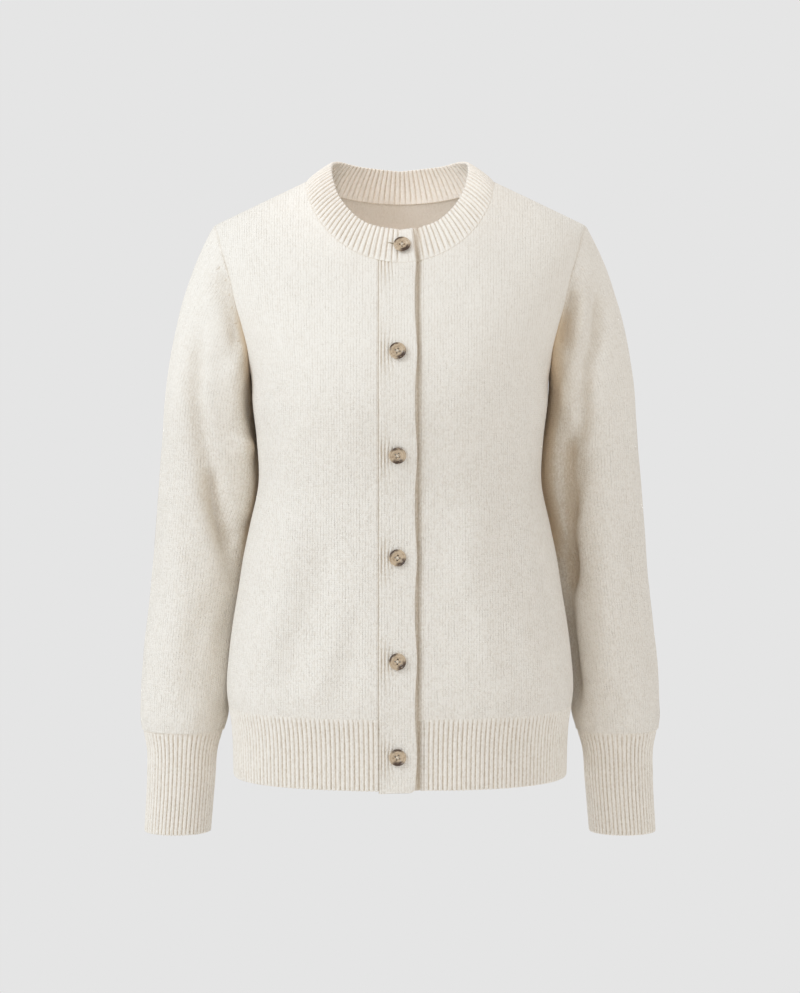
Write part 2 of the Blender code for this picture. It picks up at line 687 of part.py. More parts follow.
def build():
    clear_scene()
    parts = bpy.data.collections.new("Button cardigan")
    bpy.context.scene.collection.children.link(parts)
    jersey = make_material("felted wool jersey", (0.84, 0.78, 0.68), 0.95)
    rib = make_material("wool rib", (0.80, 0.73, 0.62), 0.95)
    horn = make_material("horn", (0.35, 0.27, 0.18), 0.4)

    fronts = {-1: front_grid(-1, BAND_TOP_SEAM), 1: front_grid(1, BAND_UNDER_SEAM)}
    back = back_grid()
    bands = {
        -1: band_grid(-1, BAND_TOP_SEAM, band_edge),
        1: band_grid(1, BAND_UNDER_SEAM, lambda z: BAND_UNDER_EDGE + 0.0 * z),
    }
    names = {-1: "right", 1: "left"}
    front_out = {side: normals(grid) for side, grid in fronts.items()}
    back_out = normals(back)
    yoke = LOWER_ROWS
    neck_row = yoke + YOKE_ROWS - NECK_ROWS
    neck_start = BACK_SHOULDER_COLUMNS + 1

    # Edges that lie in a plane keep their walls' edges in it
    for out in (*front_out.values(), back_out):
        out[0] = flatten(out[0], 2)
    for out in (*front_out.values(), back_out[:, :neck_start], back_out[:, -neck_start:]):
        out[-1] = flatten(out[-1], 1)
    for side, out in front_out.items():
        out[: neck_row + 1, 0] = flatten(out[: neck_row + 1, 0], 0)
        edge = back_out[:, 0 if side < 0 else -1]
        both = unit(out[: yoke + 1, -1] + edge[: yoke + 1])
        out[: yoke + 1, -1] = both
        back_out[: yoke + 1, 0 if side < 0 else -1] = both
    for side, out in front_out.items():
        out[-1, -1] = back_out[-1, 0 if side < 0 else -1] = unit(
            out[-1, -1] + back_out[-1, 0 if side < 0 else -1]
        )

    inner_back = back - JERSEY * back_out
    inner_front = {side: fronts[side] - JERSEY * front_out[side] for side in fronts}

    # Sleeves, and the armhole seams that they share with the body
    for side in (-1, 1):
        column = 0 if side < 0 else -1
        mirror = np.array((side, 1.0, 1.0))
        line = armhole_line(fronts[side][yoke:, -1], back[yoke:, column]) * mirror
        body = armhole_line(front_out[side][yoke:, -1], back_out[yoke:, column]) * mirror
        sleeve = sleeve_grid(line, SLEEVE_FOLDS[names[side]])
        out = normals(sleeve, True)
        out[-1] = flatten(out[-1], 2)
        inner = sleeve - JERSEY * out
        deep_line, step = armhole_seam(line, body, out[0])
        sleeve[0], inner[0] = line - step, deep_line - step
        up_front, up_back = np.arange(YOKE_ROWS + 1), -np.arange(YOKE_ROWS + 1)
        fronts[side][yoke:, -1] = (line + step)[up_front] * mirror
        inner_front[side][yoke:, -1] = (deep_line + step)[up_front] * mirror
        back[yoke:, column] = (line + step)[up_back] * mirror
        inner_back[yoke:, column] = (deep_line + step)[up_back] * mirror
        part_at_seams(sleeve, inner, ("last_row",))
        wall(f"sleeve_{names[side]}", sleeve * mirror, inner * mirror, True, jersey)
        cuff(f"cuff_{names[side]}", side, rib)

    # The neckline seam, from the buttonhole band's corner round the back to the button band's corner
    band_out = {side: normals(grid) for side, grid in bands.items()}
    for side, out in band_out.items():
        out[:, 0] = flatten(out[:, 0], 0)
        out[:, -1] = flatten(out[:, -1], 0)
    before_back = [
        (bands[-1][-1][::-1], band_out[-1][-1][::-1]),
        (fronts[-1][neck_row + 1 :, 0], front_out[-1][neck_row + 1 :, 0]),
    ]
    across_back = slice(neck_start, -neck_start)
    after_back = [
        (fronts[1][neck_row:, 0][::-1], front_out[1][neck_row:, 0][::-1]),
        (bands[1][-1][1:], band_out[1][-1][1:]),
    ]
    stretches = [*before_back, (back[-1][across_back], back_out[-1][across_back]), *after_back]
    seam = np.concatenate([points for points, _ in stretches])
    seam_out = np.concatenate([out for _, out in stretches])
    half = len(seam) // 2
    layer = np.concatenate([lap(seam[:half, 0], -1), lap(seam[half:, 0], 1)]) * (seam[:, 1] < SIDE_Y)
    neckband(seam, seam_out, layer, rib)

    # Panels
    lower = slice(None, yoke + 1)
    for side in (-1, 1):
        part_at_seams(fronts[side], inner_front[side], ("first_row", "last_row", "first_column"))
        part_at_seams(fronts[side][lower], inner_front[side][lower], ("last_column",))
        wall(f"front_{names[side]}", fronts[side], inner_front[side], False, jersey)
        inner_band = bands[side] - BAND_WALL * band_out[side]
        part_at_seams(bands[side], inner_band, ("last_row", "first_column"))
        wall(("buttonhole_band", "button_band")[side > 0], bands[side], inner_band, False, jersey)
    part_at_seams(back, inner_back, ("first_row", "last_row"))
    part_at_seams(back[lower], inner_back[lower], ("first_column", "last_column"))
    wall("back", back, inner_back, False, jersey)

    # Hem
    quarter = math.pi / 2
    hem_rib("hem_rib_back", even_turns(HEM_EDGE, -quarter, quarter, 2 * HEM_RIBS_BACK, 1), 1, 0, rib)
    for side, start in ((-1, BAND_TOP_SEAM), (1, BAND_UNDER_SEAM)):
        first = float(turn_at(abs(start), HEM_EDGE))
        turns = side * even_turns(HEM_EDGE, first, quarter, 2 * HEM_RIBS_FRONT, -1)
        hem_rib(f"hem_rib_{names[side]}", turns, -1, side, rib)

    for number, (x, z) in enumerate(BUTTONS, 1):
        button(f"button_{number}", x, z, horn)


build()
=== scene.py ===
"""Button cardigan in felted wool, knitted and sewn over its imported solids.

Every piece of cloth is a closed thin shell that follows the solid it stands for, with its folds, ribs, seams
and stitches added. Sizes in the tables are millimetres, and a mesh is written in metres: +Z up, the front
faces -Y, and "right" and "left" are the wearer's, so the right front lies at negative x.
"""

import math
from functools import partial

import bmesh
import bpy
import numpy as np
from bpy.props import FloatProperty, FloatVectorProperty, PointerProperty
from mathutils import Matrix, Vector


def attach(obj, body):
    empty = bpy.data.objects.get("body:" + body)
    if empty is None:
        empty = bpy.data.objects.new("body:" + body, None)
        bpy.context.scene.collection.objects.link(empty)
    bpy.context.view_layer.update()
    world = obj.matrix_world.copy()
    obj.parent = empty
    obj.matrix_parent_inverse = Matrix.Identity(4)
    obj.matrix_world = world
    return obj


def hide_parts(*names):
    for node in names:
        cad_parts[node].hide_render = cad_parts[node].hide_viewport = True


bl_info = {
    "name": "Button cardigan",
    "version": (1, 0, 0),
    "blender": (4, 5, 0),
    "location": "3D View > Sidebar > Cardigan",
    "description": "A felted wool cardigan, knitted and sewn over its packed solids",
    "category": "Object",
}

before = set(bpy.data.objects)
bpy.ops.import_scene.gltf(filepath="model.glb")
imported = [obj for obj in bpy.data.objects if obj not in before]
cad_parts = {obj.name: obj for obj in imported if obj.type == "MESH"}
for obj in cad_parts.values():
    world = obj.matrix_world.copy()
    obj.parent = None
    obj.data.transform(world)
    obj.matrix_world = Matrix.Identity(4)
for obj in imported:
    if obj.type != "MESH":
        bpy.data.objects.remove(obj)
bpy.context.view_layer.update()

MM = 0.001
TURN = 2 * math.pi
SIDES = ((-1, "right"), (1, "left"))

# ------------------------------------------------------------------ sizes of the cut, in millimetres

JERSEY = 2.2  # wall of the plain knit
BAND_WALL = 2.6
RIB_WALL = 2.2
LAP = 1.9  # how far the right front is lifted over, and the left front sunk under, the middle line
LAP_START = 25.0
LAP_END = 80.0

ARMPIT = -188.0
HEM_SEAM = -508.0
HEM_EDGE = -576.0
BAND_EDGE = -578.5
CUFF_SEAM = -537.0
CUFF_EDGE = -636.0

NECK_HALF = 90.0
FRONT_NECK_DROP = 79.0
FRONT_NECK_CURVE = 1.1  # the higher, the more pointed the neckline
BACK_NECK_DROP = 19.5
BACK_NECK_CURVE = 1.5
SHOULDER_HALF = 180.0
SHOULDER_DROP = 43.0
NECK_ROUNDING = 95.0  # height over which the body rounds in to the shoulder seam, by the neck and by the arm
ARM_ROUNDING = 47.0
SIDE_Y = 4.0  # the side seams' place from front to back
CORNER_SHARE = 1 / 3  # of the way from armpit to shoulder, where a front's band seam meets its neckline
NECK_CORNER = 7 / 26  # of the way across the back's upper edge, where the shoulder meets the neckline

BAND_TOP_EDGE = 13.0
BAND_WAVE = 2.2  # how far the buttonhole band's edge stands out beside a button, and over what height
BAND_WAVE_REACH = 24.0
BAND_UNDER_EDGE = -11.0
BAND_SEAMS = {-1: -20.0, 1: 22.5}
BAND_CORNER = 5.5  # rounding of the buttonhole band's lower corner
BUTTONS = (
    # x, height
    (1.9, -64.2),
    (-2.3, -162.0),
    (-2.3, -259.0),
    (-2.3, -356.0),
    (-2.3, -453.0),
    (-2.3, -544.0),
)
# Degrees that a button's holes are turned by, and how that varies from one button to the next
BUTTON_SPIN = -17.0
BUTTON_STRAY = 14.0
BUTTON_WANDER = 1.7
BUTTON_STAND = 0.5
BUTTON_SLOPE = 4.0  # height above and below a button over which the cloth's slope is read

TORSO = (
    # height, half_width, front, back, squareness
    (30.0, 203.0, 50.0, 56.0, 2.0),
    (0.0, 196.0, 66.0, 66.0, 2.0),
    (-41.0, 190.0, 81.0, 79.0, 2.0),
    (-79.0, 182.0, 94.0, 90.0, 2.1),
    (-118.0, 170.0, 111.0, 97.0, 2.25),
    (-140.0, 161.0, 121.0, 99.5, 2.3),
    (-165.0, 151.0, 130.0, 100.5, 2.35),
    (-188.0, 144.5, 134.0, 100.0, 2.4),
    (-212.0, 143.3, 133.5, 97.0, 2.4),
    (-250.0, 139.0, 124.0, 89.0, 2.4),
    (-293.0, 137.6, 114.0, 83.0, 2.4),
    (-333.0, 146.0, 113.0, 84.0, 2.4),
    (-364.0, 152.5, 115.0, 87.0, 2.4),
    (-395.0, 157.4, 117.0, 91.0, 2.4),
    (-429.0, 163.0, 120.0, 96.0, 2.4),
    (-456.0, 166.5, 122.0, 99.0, 2.4),
    (-500.0, 168.5, 124.0, 103.0, 2.4),
    (-520.0, 165.0, 120.0, 100.0, 2.4),
    (-580.0, 162.0, 117.0, 97.0, 2.4),
)
ARMHOLE = (
    # height, half_width
    (-43.0, 180.0),
    (-52.0, 176.0),
    (-66.0, 172.0),
    (-88.0, 165.0),
    (-117.0, 158.0),
    (-140.0, 151.5),
    (-164.0, 146.0),
    (-188.0, 144.5),
)

RIM_HALF = 67.0
RIM_FRONT = 75.0
RIM_BACK = 64.0
RIM_SQUARENESS = 0.85
RIM = (
    # angle, height
    (0.0, -49.0),
    (30.0, -41.0),
    (60.0, -16.5),
    (90.0, 15.0),
    (110.0, 19.5),
    (145.0, 15.0),
    (180.0, 11.0),
)
NECKBAND_CROWN = 1.6
NECKBAND_LENGTH = 520.0
NECKBAND_HEIGHT = 34.0
NECKBAND_CORNER = 6.0  # rounding of the neckband's upper end

SLEEVE = (
    # height, centre_x, centre_y, half_width, half_depth
    (-232.0, 187.0, 26.0, 44.6, 53.0),
    (-262.0, 186.3, 34.0, 47.8, 51.5),
    (-292.0, 187.5, 41.0, 49.8, 50.0),
    (-325.0, 191.5, 47.0, 49.0, 48.5),
    (-360.0, 195.3, 50.5, 48.0, 47.5),
    (-400.0, 200.3, 51.5, 47.0, 46.5),
    (-440.0, 205.5, 49.0, 46.0, 45.5),
    (-480.0, 209.8, 42.0, 45.2, 44.5),
    (-510.0, 212.2, 35.0, 44.0, 43.0),
    (-526.0, 213.2, 31.0, 43.0, 41.5),
    (-537.0, 214.0, 28.5, 40.5, 38.0),
)
CUFF = (
    # height, centre_x, centre_y, half_width, half_depth
    (-537.0, 214.0, 28.0, 39.0, 36.0),
    (-552.0, 214.6, 26.0, 35.0, 33.0),
    (-585.0, 215.8, 23.0, 33.2, 31.5),
    (-636.0, 219.2, 19.0, 32.3, 31.0),
)
# The sleeve's cap is a smooth surface from the armhole to the upper arm: how far it swells outwards, how
# straight it comes down, over what height that is read, and how far it leaves the body under the arm
CAP_SWELL = 0.28
CAP_ARRIVAL = 0.9
CAP_STEP = 20.0
UNDERARM_CLEARANCE = 0.12
SLEEVE_RADIUS = 46.0
SLEEVE_DEGREE = 0.8  # length round the sleeve that one degree takes up

# ------------------------------------------------------------------ folds

# A fold runs through its points, and a negative depth raises a ridge. Facing is -1 in front and 1 behind.
FOLD_FADE = 1.6  # the higher, the sooner a fold has its full depth from either end
BODY_FOLDS = (
    # facing, points as x and height, width, depth
    (-1, ((-62, -330), (-87, -417), (-102, -454), (-114, -498)), 15.0, 4.6),
    (-1, ((-100, -305), (-112, -387), (-127, -435), (-139, -486)), 16.0, -3.2),
    (-1, ((-38, -400), (-58, -498)), 12.0, 2.6),
    (-1, ((-49, -410), (-87, -500)), 11.0, -2.0),
    (-1, ((92, -285), (106, -355), (121, -394), (146, -448)), 15.0, 4.8),
    (-1, ((58, -305), (65, -375), (80, -442), (92, -480)), 17.0, -3.0),
    (-1, ((58, -390), (82, -496)), 10.0, 1.2),
    (-1, ((113, -410), (138, -490)), 14.0, -2.6),
    (-1, ((-118, -196), (-92, -236)), 12.0, 2.0),
    (-1, ((120, -198), (96, -246)), 12.0, 2.2),
    (1, ((-70, -250), (-104, -480)), 17.0, 4.5),
    (1, ((66, -265), (112, -470)), 17.0, 4.5),
    (1, ((6, -300), (16, -490)), 16.0, 3.0),
    (1, ((-30, -360), (-52, -496)), 13.0, -2.4),
    (1, ((48, -345), (70, -494)), 14.0, -2.2),
    (1, ((-112, -200), (-84, -262)), 14.0, 2.6),
    (1, ((110, -204), (78, -258)), 14.0, 2.3),
)
SLEEVE_FOLDS = {
    # points as angle and height, width, depth
    "right": (
        (((320, -121), (302, -166), (283, -220), (264, -302), (210, -403)), 11.0, 9.0),
        (((271, -275), (258, -312), (246, -333), (224, -362)), 8.5, 7.5),
        (((318, -86), (305, -97), (279, -122), (259, -141), (236, -166)), 9.0, 7.5),
        (((252, -165), (240, -190), (233, -215), (228, -240), (225, -275)), 13.0, -8.0),
        (((226, -240), (224, -268), (221, -300), (212, -335)), 13.0, -6.0),
        (((199, -188), (198, -215), (198, -280)), 7.0, -0.5),
        (((166, -186), (166, -215), (168, -260)), 10.0, -3.0),
        (((198, -430), (195, -480), (192, -525)), 9.0, 1.4),
        (((215, -400), (226, -450), (238, -515)), 16.0, 2.5),
        (((246, -395), (262, -450), (258, -512)), 13.0, 2.0),
        (((304, -330), (286, -420), (292, -505)), 15.0, -2.2),
        (((330, -300), (342, -430)), 12.0, 2.4),
        (((80, -230), (130, -420)), 11.0, 4.0),
        (((60, -300), (96, -430), (70, -500)), 12.0, 2.8),
        (((160, -250), (176, -330)), 12.0, 2.5),
        (((55, -88), (92, -128), (136, -176)), 9.0, 3.2),
    ),
    "left": (
        (((300, -99), (281, -115), (264, -135), (255, -147), (240, -165)), 8.0, 8.0),
        (((311, -103), (287, -134), (266, -165), (234, -198), (222, -234)), 7.0, -4.0),
        (((341, -93), (313, -125), (292, -157), (274, -175), (258, -207), (255, -275)), 9.0, 8.0),
        (((238, -225), (234, -300), (226, -350), (214, -410)), 15.0, 15.0),
        (((222, -340), (212, -400), (205, -440), (202, -525)), 14.0, 10.0),
        (((262, -255), (256, -290), (240, -318), (214, -334)), 9.0, 5.0),
        (((300, -225), (283, -290), (274, -370), (262, -450), (252, -505)), 12.0, -4.0),
        (((345, -91), (335, -140), (322, -213), (324, -269), (320, -340)), 9.0, -1.8),
        (((318, -300), (306, -400), (316, -480)), 13.0, 2.4),
        (((95, -240), (60, -420)), 11.0, 4.0),
        (((120, -330), (88, -440), (112, -505)), 12.0, 2.8),
        (((20, -260), (8, -400)), 13.0, 2.2),
        (((48, -90), (86, -130), (140, -178)), 9.0, 3.4),
    ),
}
FOLD_START = 10.0  # a sleeve's folds grow out of the armhole seam over this length
# The sleeve's end is drawn in to the cuff, which puckers the cloth above it
PUCKERS = 13
PUCKER_DEPTH = 1.5
PUCKER_STRAY = 0.28  # of the way to the next one
PUCKER_LEAN = 0.35  # degrees round the sleeve for each millimetre up it
PUCKER_REACH = (16.0, 34.0)
PUCKER_SHARE = (0.35, 1.0)  # of the full depth
PUCKER_START = 5.0
PUCKER_FADE = 1.5  # the higher, the shorter a pucker
PUCKER_WIDTH = 4.5
# The cloth is never quite smooth: slow waves in its depth, which differ from front to back and side to side
RIPPLE_SHIFT = 40.0
RIPPLE_FACING = 31.0
RIPPLES = (
    # length across, length down, phase, depth
    (83.0, 131.0, 0.4, 0.20),
    (-61.0, 97.0, 2.1, 0.17),
    (47.0, -173.0, 4.0, 0.15),
    (34.0, 71.0, 1.2, 0.09),
    (-27.0, 52.0, 5.3, 0.07),
)

# ------------------------------------------------------------------ seams and painted shade

SEAM_DIP = 0.65  # how far the cloth rolls in at a seam, and over what length
SEAM_REACH = 1.3
# The buttonhole band's seam is narrower and deeper than the others, the covered one and the neckline's less
BAND_SEAM = {-1: 1.6, 1: 0.6}
BAND_SEAM_REACH = 0.85
NECKLINE_SEAM = 0.5
# Painted shade: how warm and dark the wool is painted in a seam and in a deep furrow, against the valley
# between two ribs
SEAM_SHADE = 0.4
FOLD_SHADE = {"right": 0.6, "left": 1.2}
FOLD_DEEP = 15.0
# A sleeve has painted shade where it lies against the body: how much, over what distance, and between which
# heights
ARM_SHADE = {"right": 1.5, "left": 1.6}
ARM_SHADE_REACH = {"right": 9.0, "left": 21.0}
ARM_SHADE_START = (-75.0, -150.0)
ARM_SHADE_END = (-340.0, -430.0)

# ------------------------------------------------------------------ how finely the cloth is divided

STEP = 2.5  # along plain cloth
NEAR_SEAM = (0.0, 0.7, 1.5, 2.6, 4.0)  # places beside a seam, which is rolled in
# Lengths along the cloth that its divisions are counted from
FRONT_WIDTH = 190.0
BAND_SIDE = 62.0  # from the armpit's height up to the neckline's corner
NECK_SIDE = 122.0  # and on to the shoulder
SHOULDER_LENGTH = 108.0
BACK_NECK_LENGTH = 200.0
CAP_LENGTH = 105.0
BAND_WIDTH = 34.0
BAND_LENGTH = 503.0
BAND_STEP = {-1: 0.6, 1: 1.2}
BAND_CORNER_ROWS = (0.4, 0.9, 1.6, 2.6, 3.8)  # heights at which the buttonhole band's round corner is divided
RIB_STEP = 4.0
NECK_STEP = 3.0
# Points on a line that evenly spaced ones are read from
RING_SAMPLES = 600
ARMHOLE_SAMPLES = 400
PANEL_SAMPLES = 41
RIB_PHASES = (0.0, 0.09, 0.2, 0.34, 0.5, 0.66, 0.8, 0.91)  # of a rib's width, from valley to valley
RIB_VALLEY = 0.14  # share of a rib's width that its valley takes up on each side
RIB_FADE = 5.0  # length over which ribs grow out of a seam
RIB_START = 0.4  # how much of their relief they have at the seam
NECK_RIB_START = 0.5
RIB_MEAN = 0.6  # height in a rib's relief that lies on the cloth's surface
RIB_UNEVEN = 0.15
NECK_RIB_UNEVEN = 0.12
PLAIN_END = 8.0  # of the neckband at the button, and the length over which its ribs grow from there
PLAIN_RIB = 0.12  # what shows of a rib there
LAPPED_FROM = 0.9  # of the way along the neckband, the part that lies under its other end
CUFF_RADIUS = 33.0
HEM_RIBS_BACK = 96
HEM_RIBS_FRONT = 46
CUFF_RIBS = 50
NECK_RIBS = 110
HEM_SEED, CUFF_SEED, NECK_SEED = 5, 11, 3
EDGE_STEPS = 4  # facets round a free edge
EDGE_TURN = math.radians(86)
EDGE_ROOM = 0.6  # of the last row or column, which a round edge may take up
SHARP_EDGE = math.radians(60)


# ------------------------------------------------------------------ settings


def linear(code, alpha=True):
    """An sRGB hex colour as Blender's linear values."""
    values = [int(code[i : i + 2], 16) / 255 for i in (1, 3, 5)]
    values = [v / 12.92 if v <= 0.04045 else ((v + 0.055) / 1.055) ** 2.4 for v in values]
    return (*values, 1.0) if alpha else tuple(values)


def colour_setting(name, description, code):
    return FloatVectorProperty(
        name=name,
        description=description,
        subtype="COLOR",
        size=3,
        min=0.0,
        max=1.0,
        default=linear(code, alpha=False),
    )


def length_setting(name, description, default):
    return FloatProperty(name=name, description=description, default=default, unit="LENGTH", min=0.0)


def power_setting(name, description, default):
    return FloatProperty(name=name, description=description, default=default, unit="POWER", min=0.0)


class CardiganKnitSettings(bpy.types.PropertyGroup):
    """Sizes of the knitting"""

    wale: length_setting("Wale", "Width of one column of plain stitches", 0.0027)
    course: length_setting("Course", "Height of one row of plain stitches", 0.0020)
    stitch_relief: length_setting("Stitch relief", "How far a stitch stands out of the felted cloth", 0.0006)
    felt_grain: length_setting("Felt grain", "Size of the tufts of felted fibre", 0.0017)
    rib_relief: length_setting("Rib relief", "Depth of the valleys between ribs", 0.0014)
    nap: FloatProperty(
        name="Nap",
        description="How much light the raised fibres catch at grazing angles",
        default=0.25,
        min=0.0,
        max=1.0,
        subtype="FACTOR",
    )


class CardiganColourSettings(bpy.types.PropertyGroup):
    """Colours of the wool, thread and buttons"""

    wool: colour_setting("Wool", "Cream wool where it lies open to the light", "#f6efe4")
    # Painted shade: the wool's colour where shade falls, down between stitches and ribs, in seams, furrows
    # and under laps. The thread's twist also takes it as its darker tone.
    wool_deep: colour_setting("Deep wool", "The same wool down between stitches and ribs", "#d6c8b4")
    # Deeper painted shade, warmer and darker, where two layers lie close together and in the deepest furrows
    wool_shade: colour_setting("Shaded wool", "The same wool where two layers lie close together", "#d2b48c")
    thread: colour_setting("Thread", "Sewing thread of the buttons and buttonholes", "#efe6d6")
    horn: colour_setting("Horn", "The buttons' pale ground", "#cab497")
    # Painted shade: the dark clouds lie at each button's lower right and upper-left rim, where the upper-left
    # key light leaves the button in shade
    painted_horn_shade: colour_setting("Dark horn", "The clouds in the buttons", "#4a3423")


class CardiganStageSettings(bpy.types.PropertyGroup):
    """Backdrop and lights"""

    backdrop: colour_setting("Backdrop", "Pale grey of the floor and of the room behind", "#e5e5e5")
    key_power: power_setting("Key light", "Power of the soft light at the upper left", 40.0)
    neck_power: power_setting("Neck light", "Power of the light into the neck", 48.0)
    inner_power: power_setting("Inner light", "Power of the light inside the back", 0.25)
    key_colour: colour_setting("Key colour", "Cool daylight, in which the wool's shade looks warm", "#dfefff")
    key_size: length_setting("Key light size", "Side of the soft light", 1.0)


# ------------------------------------------------------------------ tables and curves


def curve(t, start, leave, end, arrive):
    """A smooth way from one value to another at t from 0 to 1, which leaves and arrives at given slopes."""
    first = (1 + 2 * t) * (1 - t) ** 2 * start + t * (1 - t) ** 2 * leave
    return first + (t * t * (3 - 2 * t) * end - t * t * (1 - t) * arrive)


def smooth(table, column, at):
    """A column of a table, read along its first column on a smooth curve through its rows."""
    rows = np.array(sorted(table), float)
    knots, values = rows[:, 0], rows[:, column]
    slopes = np.gradient(values, knots)
    at = np.clip(np.asarray(at, float), knots[0], knots[-1])
    i = np.clip(np.searchsorted(knots, at) - 1, 0, len(knots) - 2)
    span = knots[i + 1] - knots[i]
    return curve((at - knots[i]) / span, values[i], span * slopes[i], values[i + 1], span * slopes[i + 1])


def ease(t):
    """A soft step from 0 to 1."""
    t = np.clip(t, 0.0, 1.0)
    return t * t * (3 - 2 * t)


def unit(vectors):
    return vectors / np.maximum(np.linalg.norm(vectors, axis=-1, keepdims=True), 1e-9)


def lengths_along(points):
    """How far along a line each of its points is."""
    steps = np.linalg.norm(np.diff(points, axis=0), axis=1)
    return np.concatenate(([0.0], np.cumsum(steps)))


def spaced(points, values, places):
    """Values that go with a line's points, read at places from 0 to 1 along it."""
    along = lengths_along(points)
    values = np.asarray(values, float)
    if values.ndim == 1:
        return np.interp(places * along[-1], along, values)
    return np.stack([np.interp(places * along[-1], along, v) for v in values.T], axis=-1)


def along_cloth(length, step, start_seam=True, end_seam=True):
    """Places from 0 to 1 along a piece, closer together beside a seam."""
    near = np.array(NEAR_SEAM)
    first = near if start_seam else near[:1]
    last = near if end_seam else near[:1]
    count = max(round((length - first[-1] - last[-1]) / step), 1)
    middle = np.linspace(first[-1], length - last[-1], count + 1)[1:-1]
    return np.concatenate([first, middle, length - last[::-1]]) / length


def distances(grid, axis):
    """How far each point of a grid is from its first row (axis 0) or column (axis 1), along the cloth."""
    steps = np.linalg.norm(np.diff(grid, axis=axis), axis=-1)
    start = np.zeros_like(np.take(steps, [0], axis=axis))
    return np.concatenate([start, np.cumsum(steps, axis=axis)], axis=axis)


# ------------------------------------------------------------------ the body's form


def shoulder_height(x):
    return SHOULDER_DROP * (NECK_HALF - np.abs(x)) / (SHOULDER_HALF - NECK_HALF)


def fold_depth(across, down, points, width, depth):
    """How deep a fold is at a point: a soft furrow along its line that fades at both ends."""
    points = np.array(points)
    starts = lengths_along(points)
    nearest, place = np.full(np.broadcast(across, down).shape, np.inf), 0.0
    for (x0, z0), (x1, z1), start, end in zip(points, points[1:], starts, starts[1:]):
        share = ((across - x0) * (x1 - x0) + (down - z0) * (z1 - z0)) / (end - start) ** 2
        share = np.clip(share, 0.0, 1.0)
        away = np.hypot(across - x0 - share * (x1 - x0), down - z0 - share * (z1 - z0))
        place = np.where(away < nearest, (start + share * (end - start)) / starts[-1], place)
        nearest = np.minimum(away, nearest)
    return depth * np.exp(-((nearest / width) ** 2)) * ease(FOLD_FADE * np.sin(np.pi * place))


def ripple(across, down):
    """Slow, shallow waves in the cloth."""
    waves = [
        depth * np.sin(TURN * (across / width + down / height) + phase)
        for width, height, phase, depth in RIPPLES
    ]
    return sum(waves)


def lap(x, side):
    return -side * LAP * ease((LAP_END - side * x) / (LAP_END - LAP_START))


def torso(x, z, facing, side=0):
    """The body's outer surface at x and z: facing is -1 on the front and 1 on the back."""
    half, front, back, square = (smooth(TORSO, column, z) for column in (1, 2, 3, 4))
    depth = np.where(facing < 0, front, back)
    across = np.clip(np.abs(x) / half, 0.0, 1.0)
    fullness = (1 - across**square) ** (1 / square)
    rounding = NECK_ROUNDING + (ARM_ROUNDING - NECK_ROUNDING) * ease(
        (np.abs(x) - NECK_HALF) / (SHOULDER_HALF - NECK_HALF)
    )
    rise = np.clip((shoulder_height(x) - z) / rounding, 0.0, 1.0)
    depth = depth * fullness * np.sqrt(1 - (1 - rise) ** 2)
    for fold_facing, *fold in BODY_FOLDS:
        if fold_facing == facing:
            depth = depth - fold_depth(x, z, *fold)
    depth = depth + ripple(x, z + RIPPLE_FACING * facing) * fullness * rise
    if side:
        depth = depth + lap(x, side)
    return np.stack([x + 0 * z, SIDE_Y + facing * depth, z + 0 * x], axis=-1)


def x_at(turn, z):
    """Half width at an angle round a ring, 0 at its middle and a quarter turn at the side seam."""
    return smooth(TORSO, 1, z) * np.sin(turn) ** (2 / smooth(TORSO, 4, z))


def turn_at(x, z):
    """The angle round a ring at a half width."""
    square = smooth(TORSO, 4, z)
    return np.arcsin(np.clip(x / smooth(TORSO, 1, z), 0.0, 1.0) ** (square / 2))


def even_turns(z, first, last, places, facing):
    """Angles round a ring at places from 0 to 1 along the cloth."""
    turns = np.linspace(first, last, RING_SAMPLES)
    level = np.full(turns.shape, z)
    x = np.sign(turns) * x_at(np.abs(turns), level)
    return spaced(torso(x, level, facing), turns, places)


def front_neck(angle):
    depth = np.maximum(np.cos(angle), 0.0) ** FRONT_NECK_CURVE
    return NECK_HALF * np.sin(angle), -FRONT_NECK_DROP * depth


def back_neck(angle):
    depth = np.maximum(np.cos(angle), 0.0) ** BACK_NECK_CURVE
    return NECK_HALF * np.sin(angle), -BACK_NECK_DROP * depth


def armhole_heights(facing, places):
    """Heights at the armhole at places from 0, the armpit, to 1, the shoulder, along its curve."""
    z = np.linspace(ARMPIT, -SHOULDER_DROP, ARMHOLE_SAMPLES)
    return spaced(torso(smooth(ARMHOLE, 1, z), z, facing), z, places)


# ------------------------------------------------------------------ surfaces of the pieces

LOWER = along_cloth(ARMPIT - HEM_SEAM, STEP, end_seam=False)
YOKE_LOW = along_cloth(BAND_SIDE, STEP, start_seam=False, end_seam=False) * CORNER_SHARE
YOKE_HIGH = CORNER_SHARE + along_cloth(NECK_SIDE, STEP, start_seam=False) * (1 - CORNER_SHARE)
YOKE = np.concatenate([YOKE_LOW, YOKE_HIGH[1:]])
YOKE_ROW = len(LOWER) - 1  # the grids' row at the armpit
CORNER_ROW = YOKE_ROW + len(YOKE_LOW) - 1  # and at the fronts' neckline corner
FRONT_ACROSS = along_cloth(FRONT_WIDTH, STEP)
BACK_SHOULDER = along_cloth(SHOULDER_LENGTH, STEP, end_seam=False) * NECK_CORNER
BACK_NECK = along_cloth(BACK_NECK_LENGTH, STEP, start_seam=False, end_seam=False)
BACK_NECK = NECK_CORNER + BACK_NECK * (1 - 2 * NECK_CORNER)
BACK_ACROSS = np.concatenate([BACK_SHOULDER, BACK_NECK[1:-1], (1 - BACK_SHOULDER)[::-1]])
NECK_START = len(BACK_SHOULDER) - 1


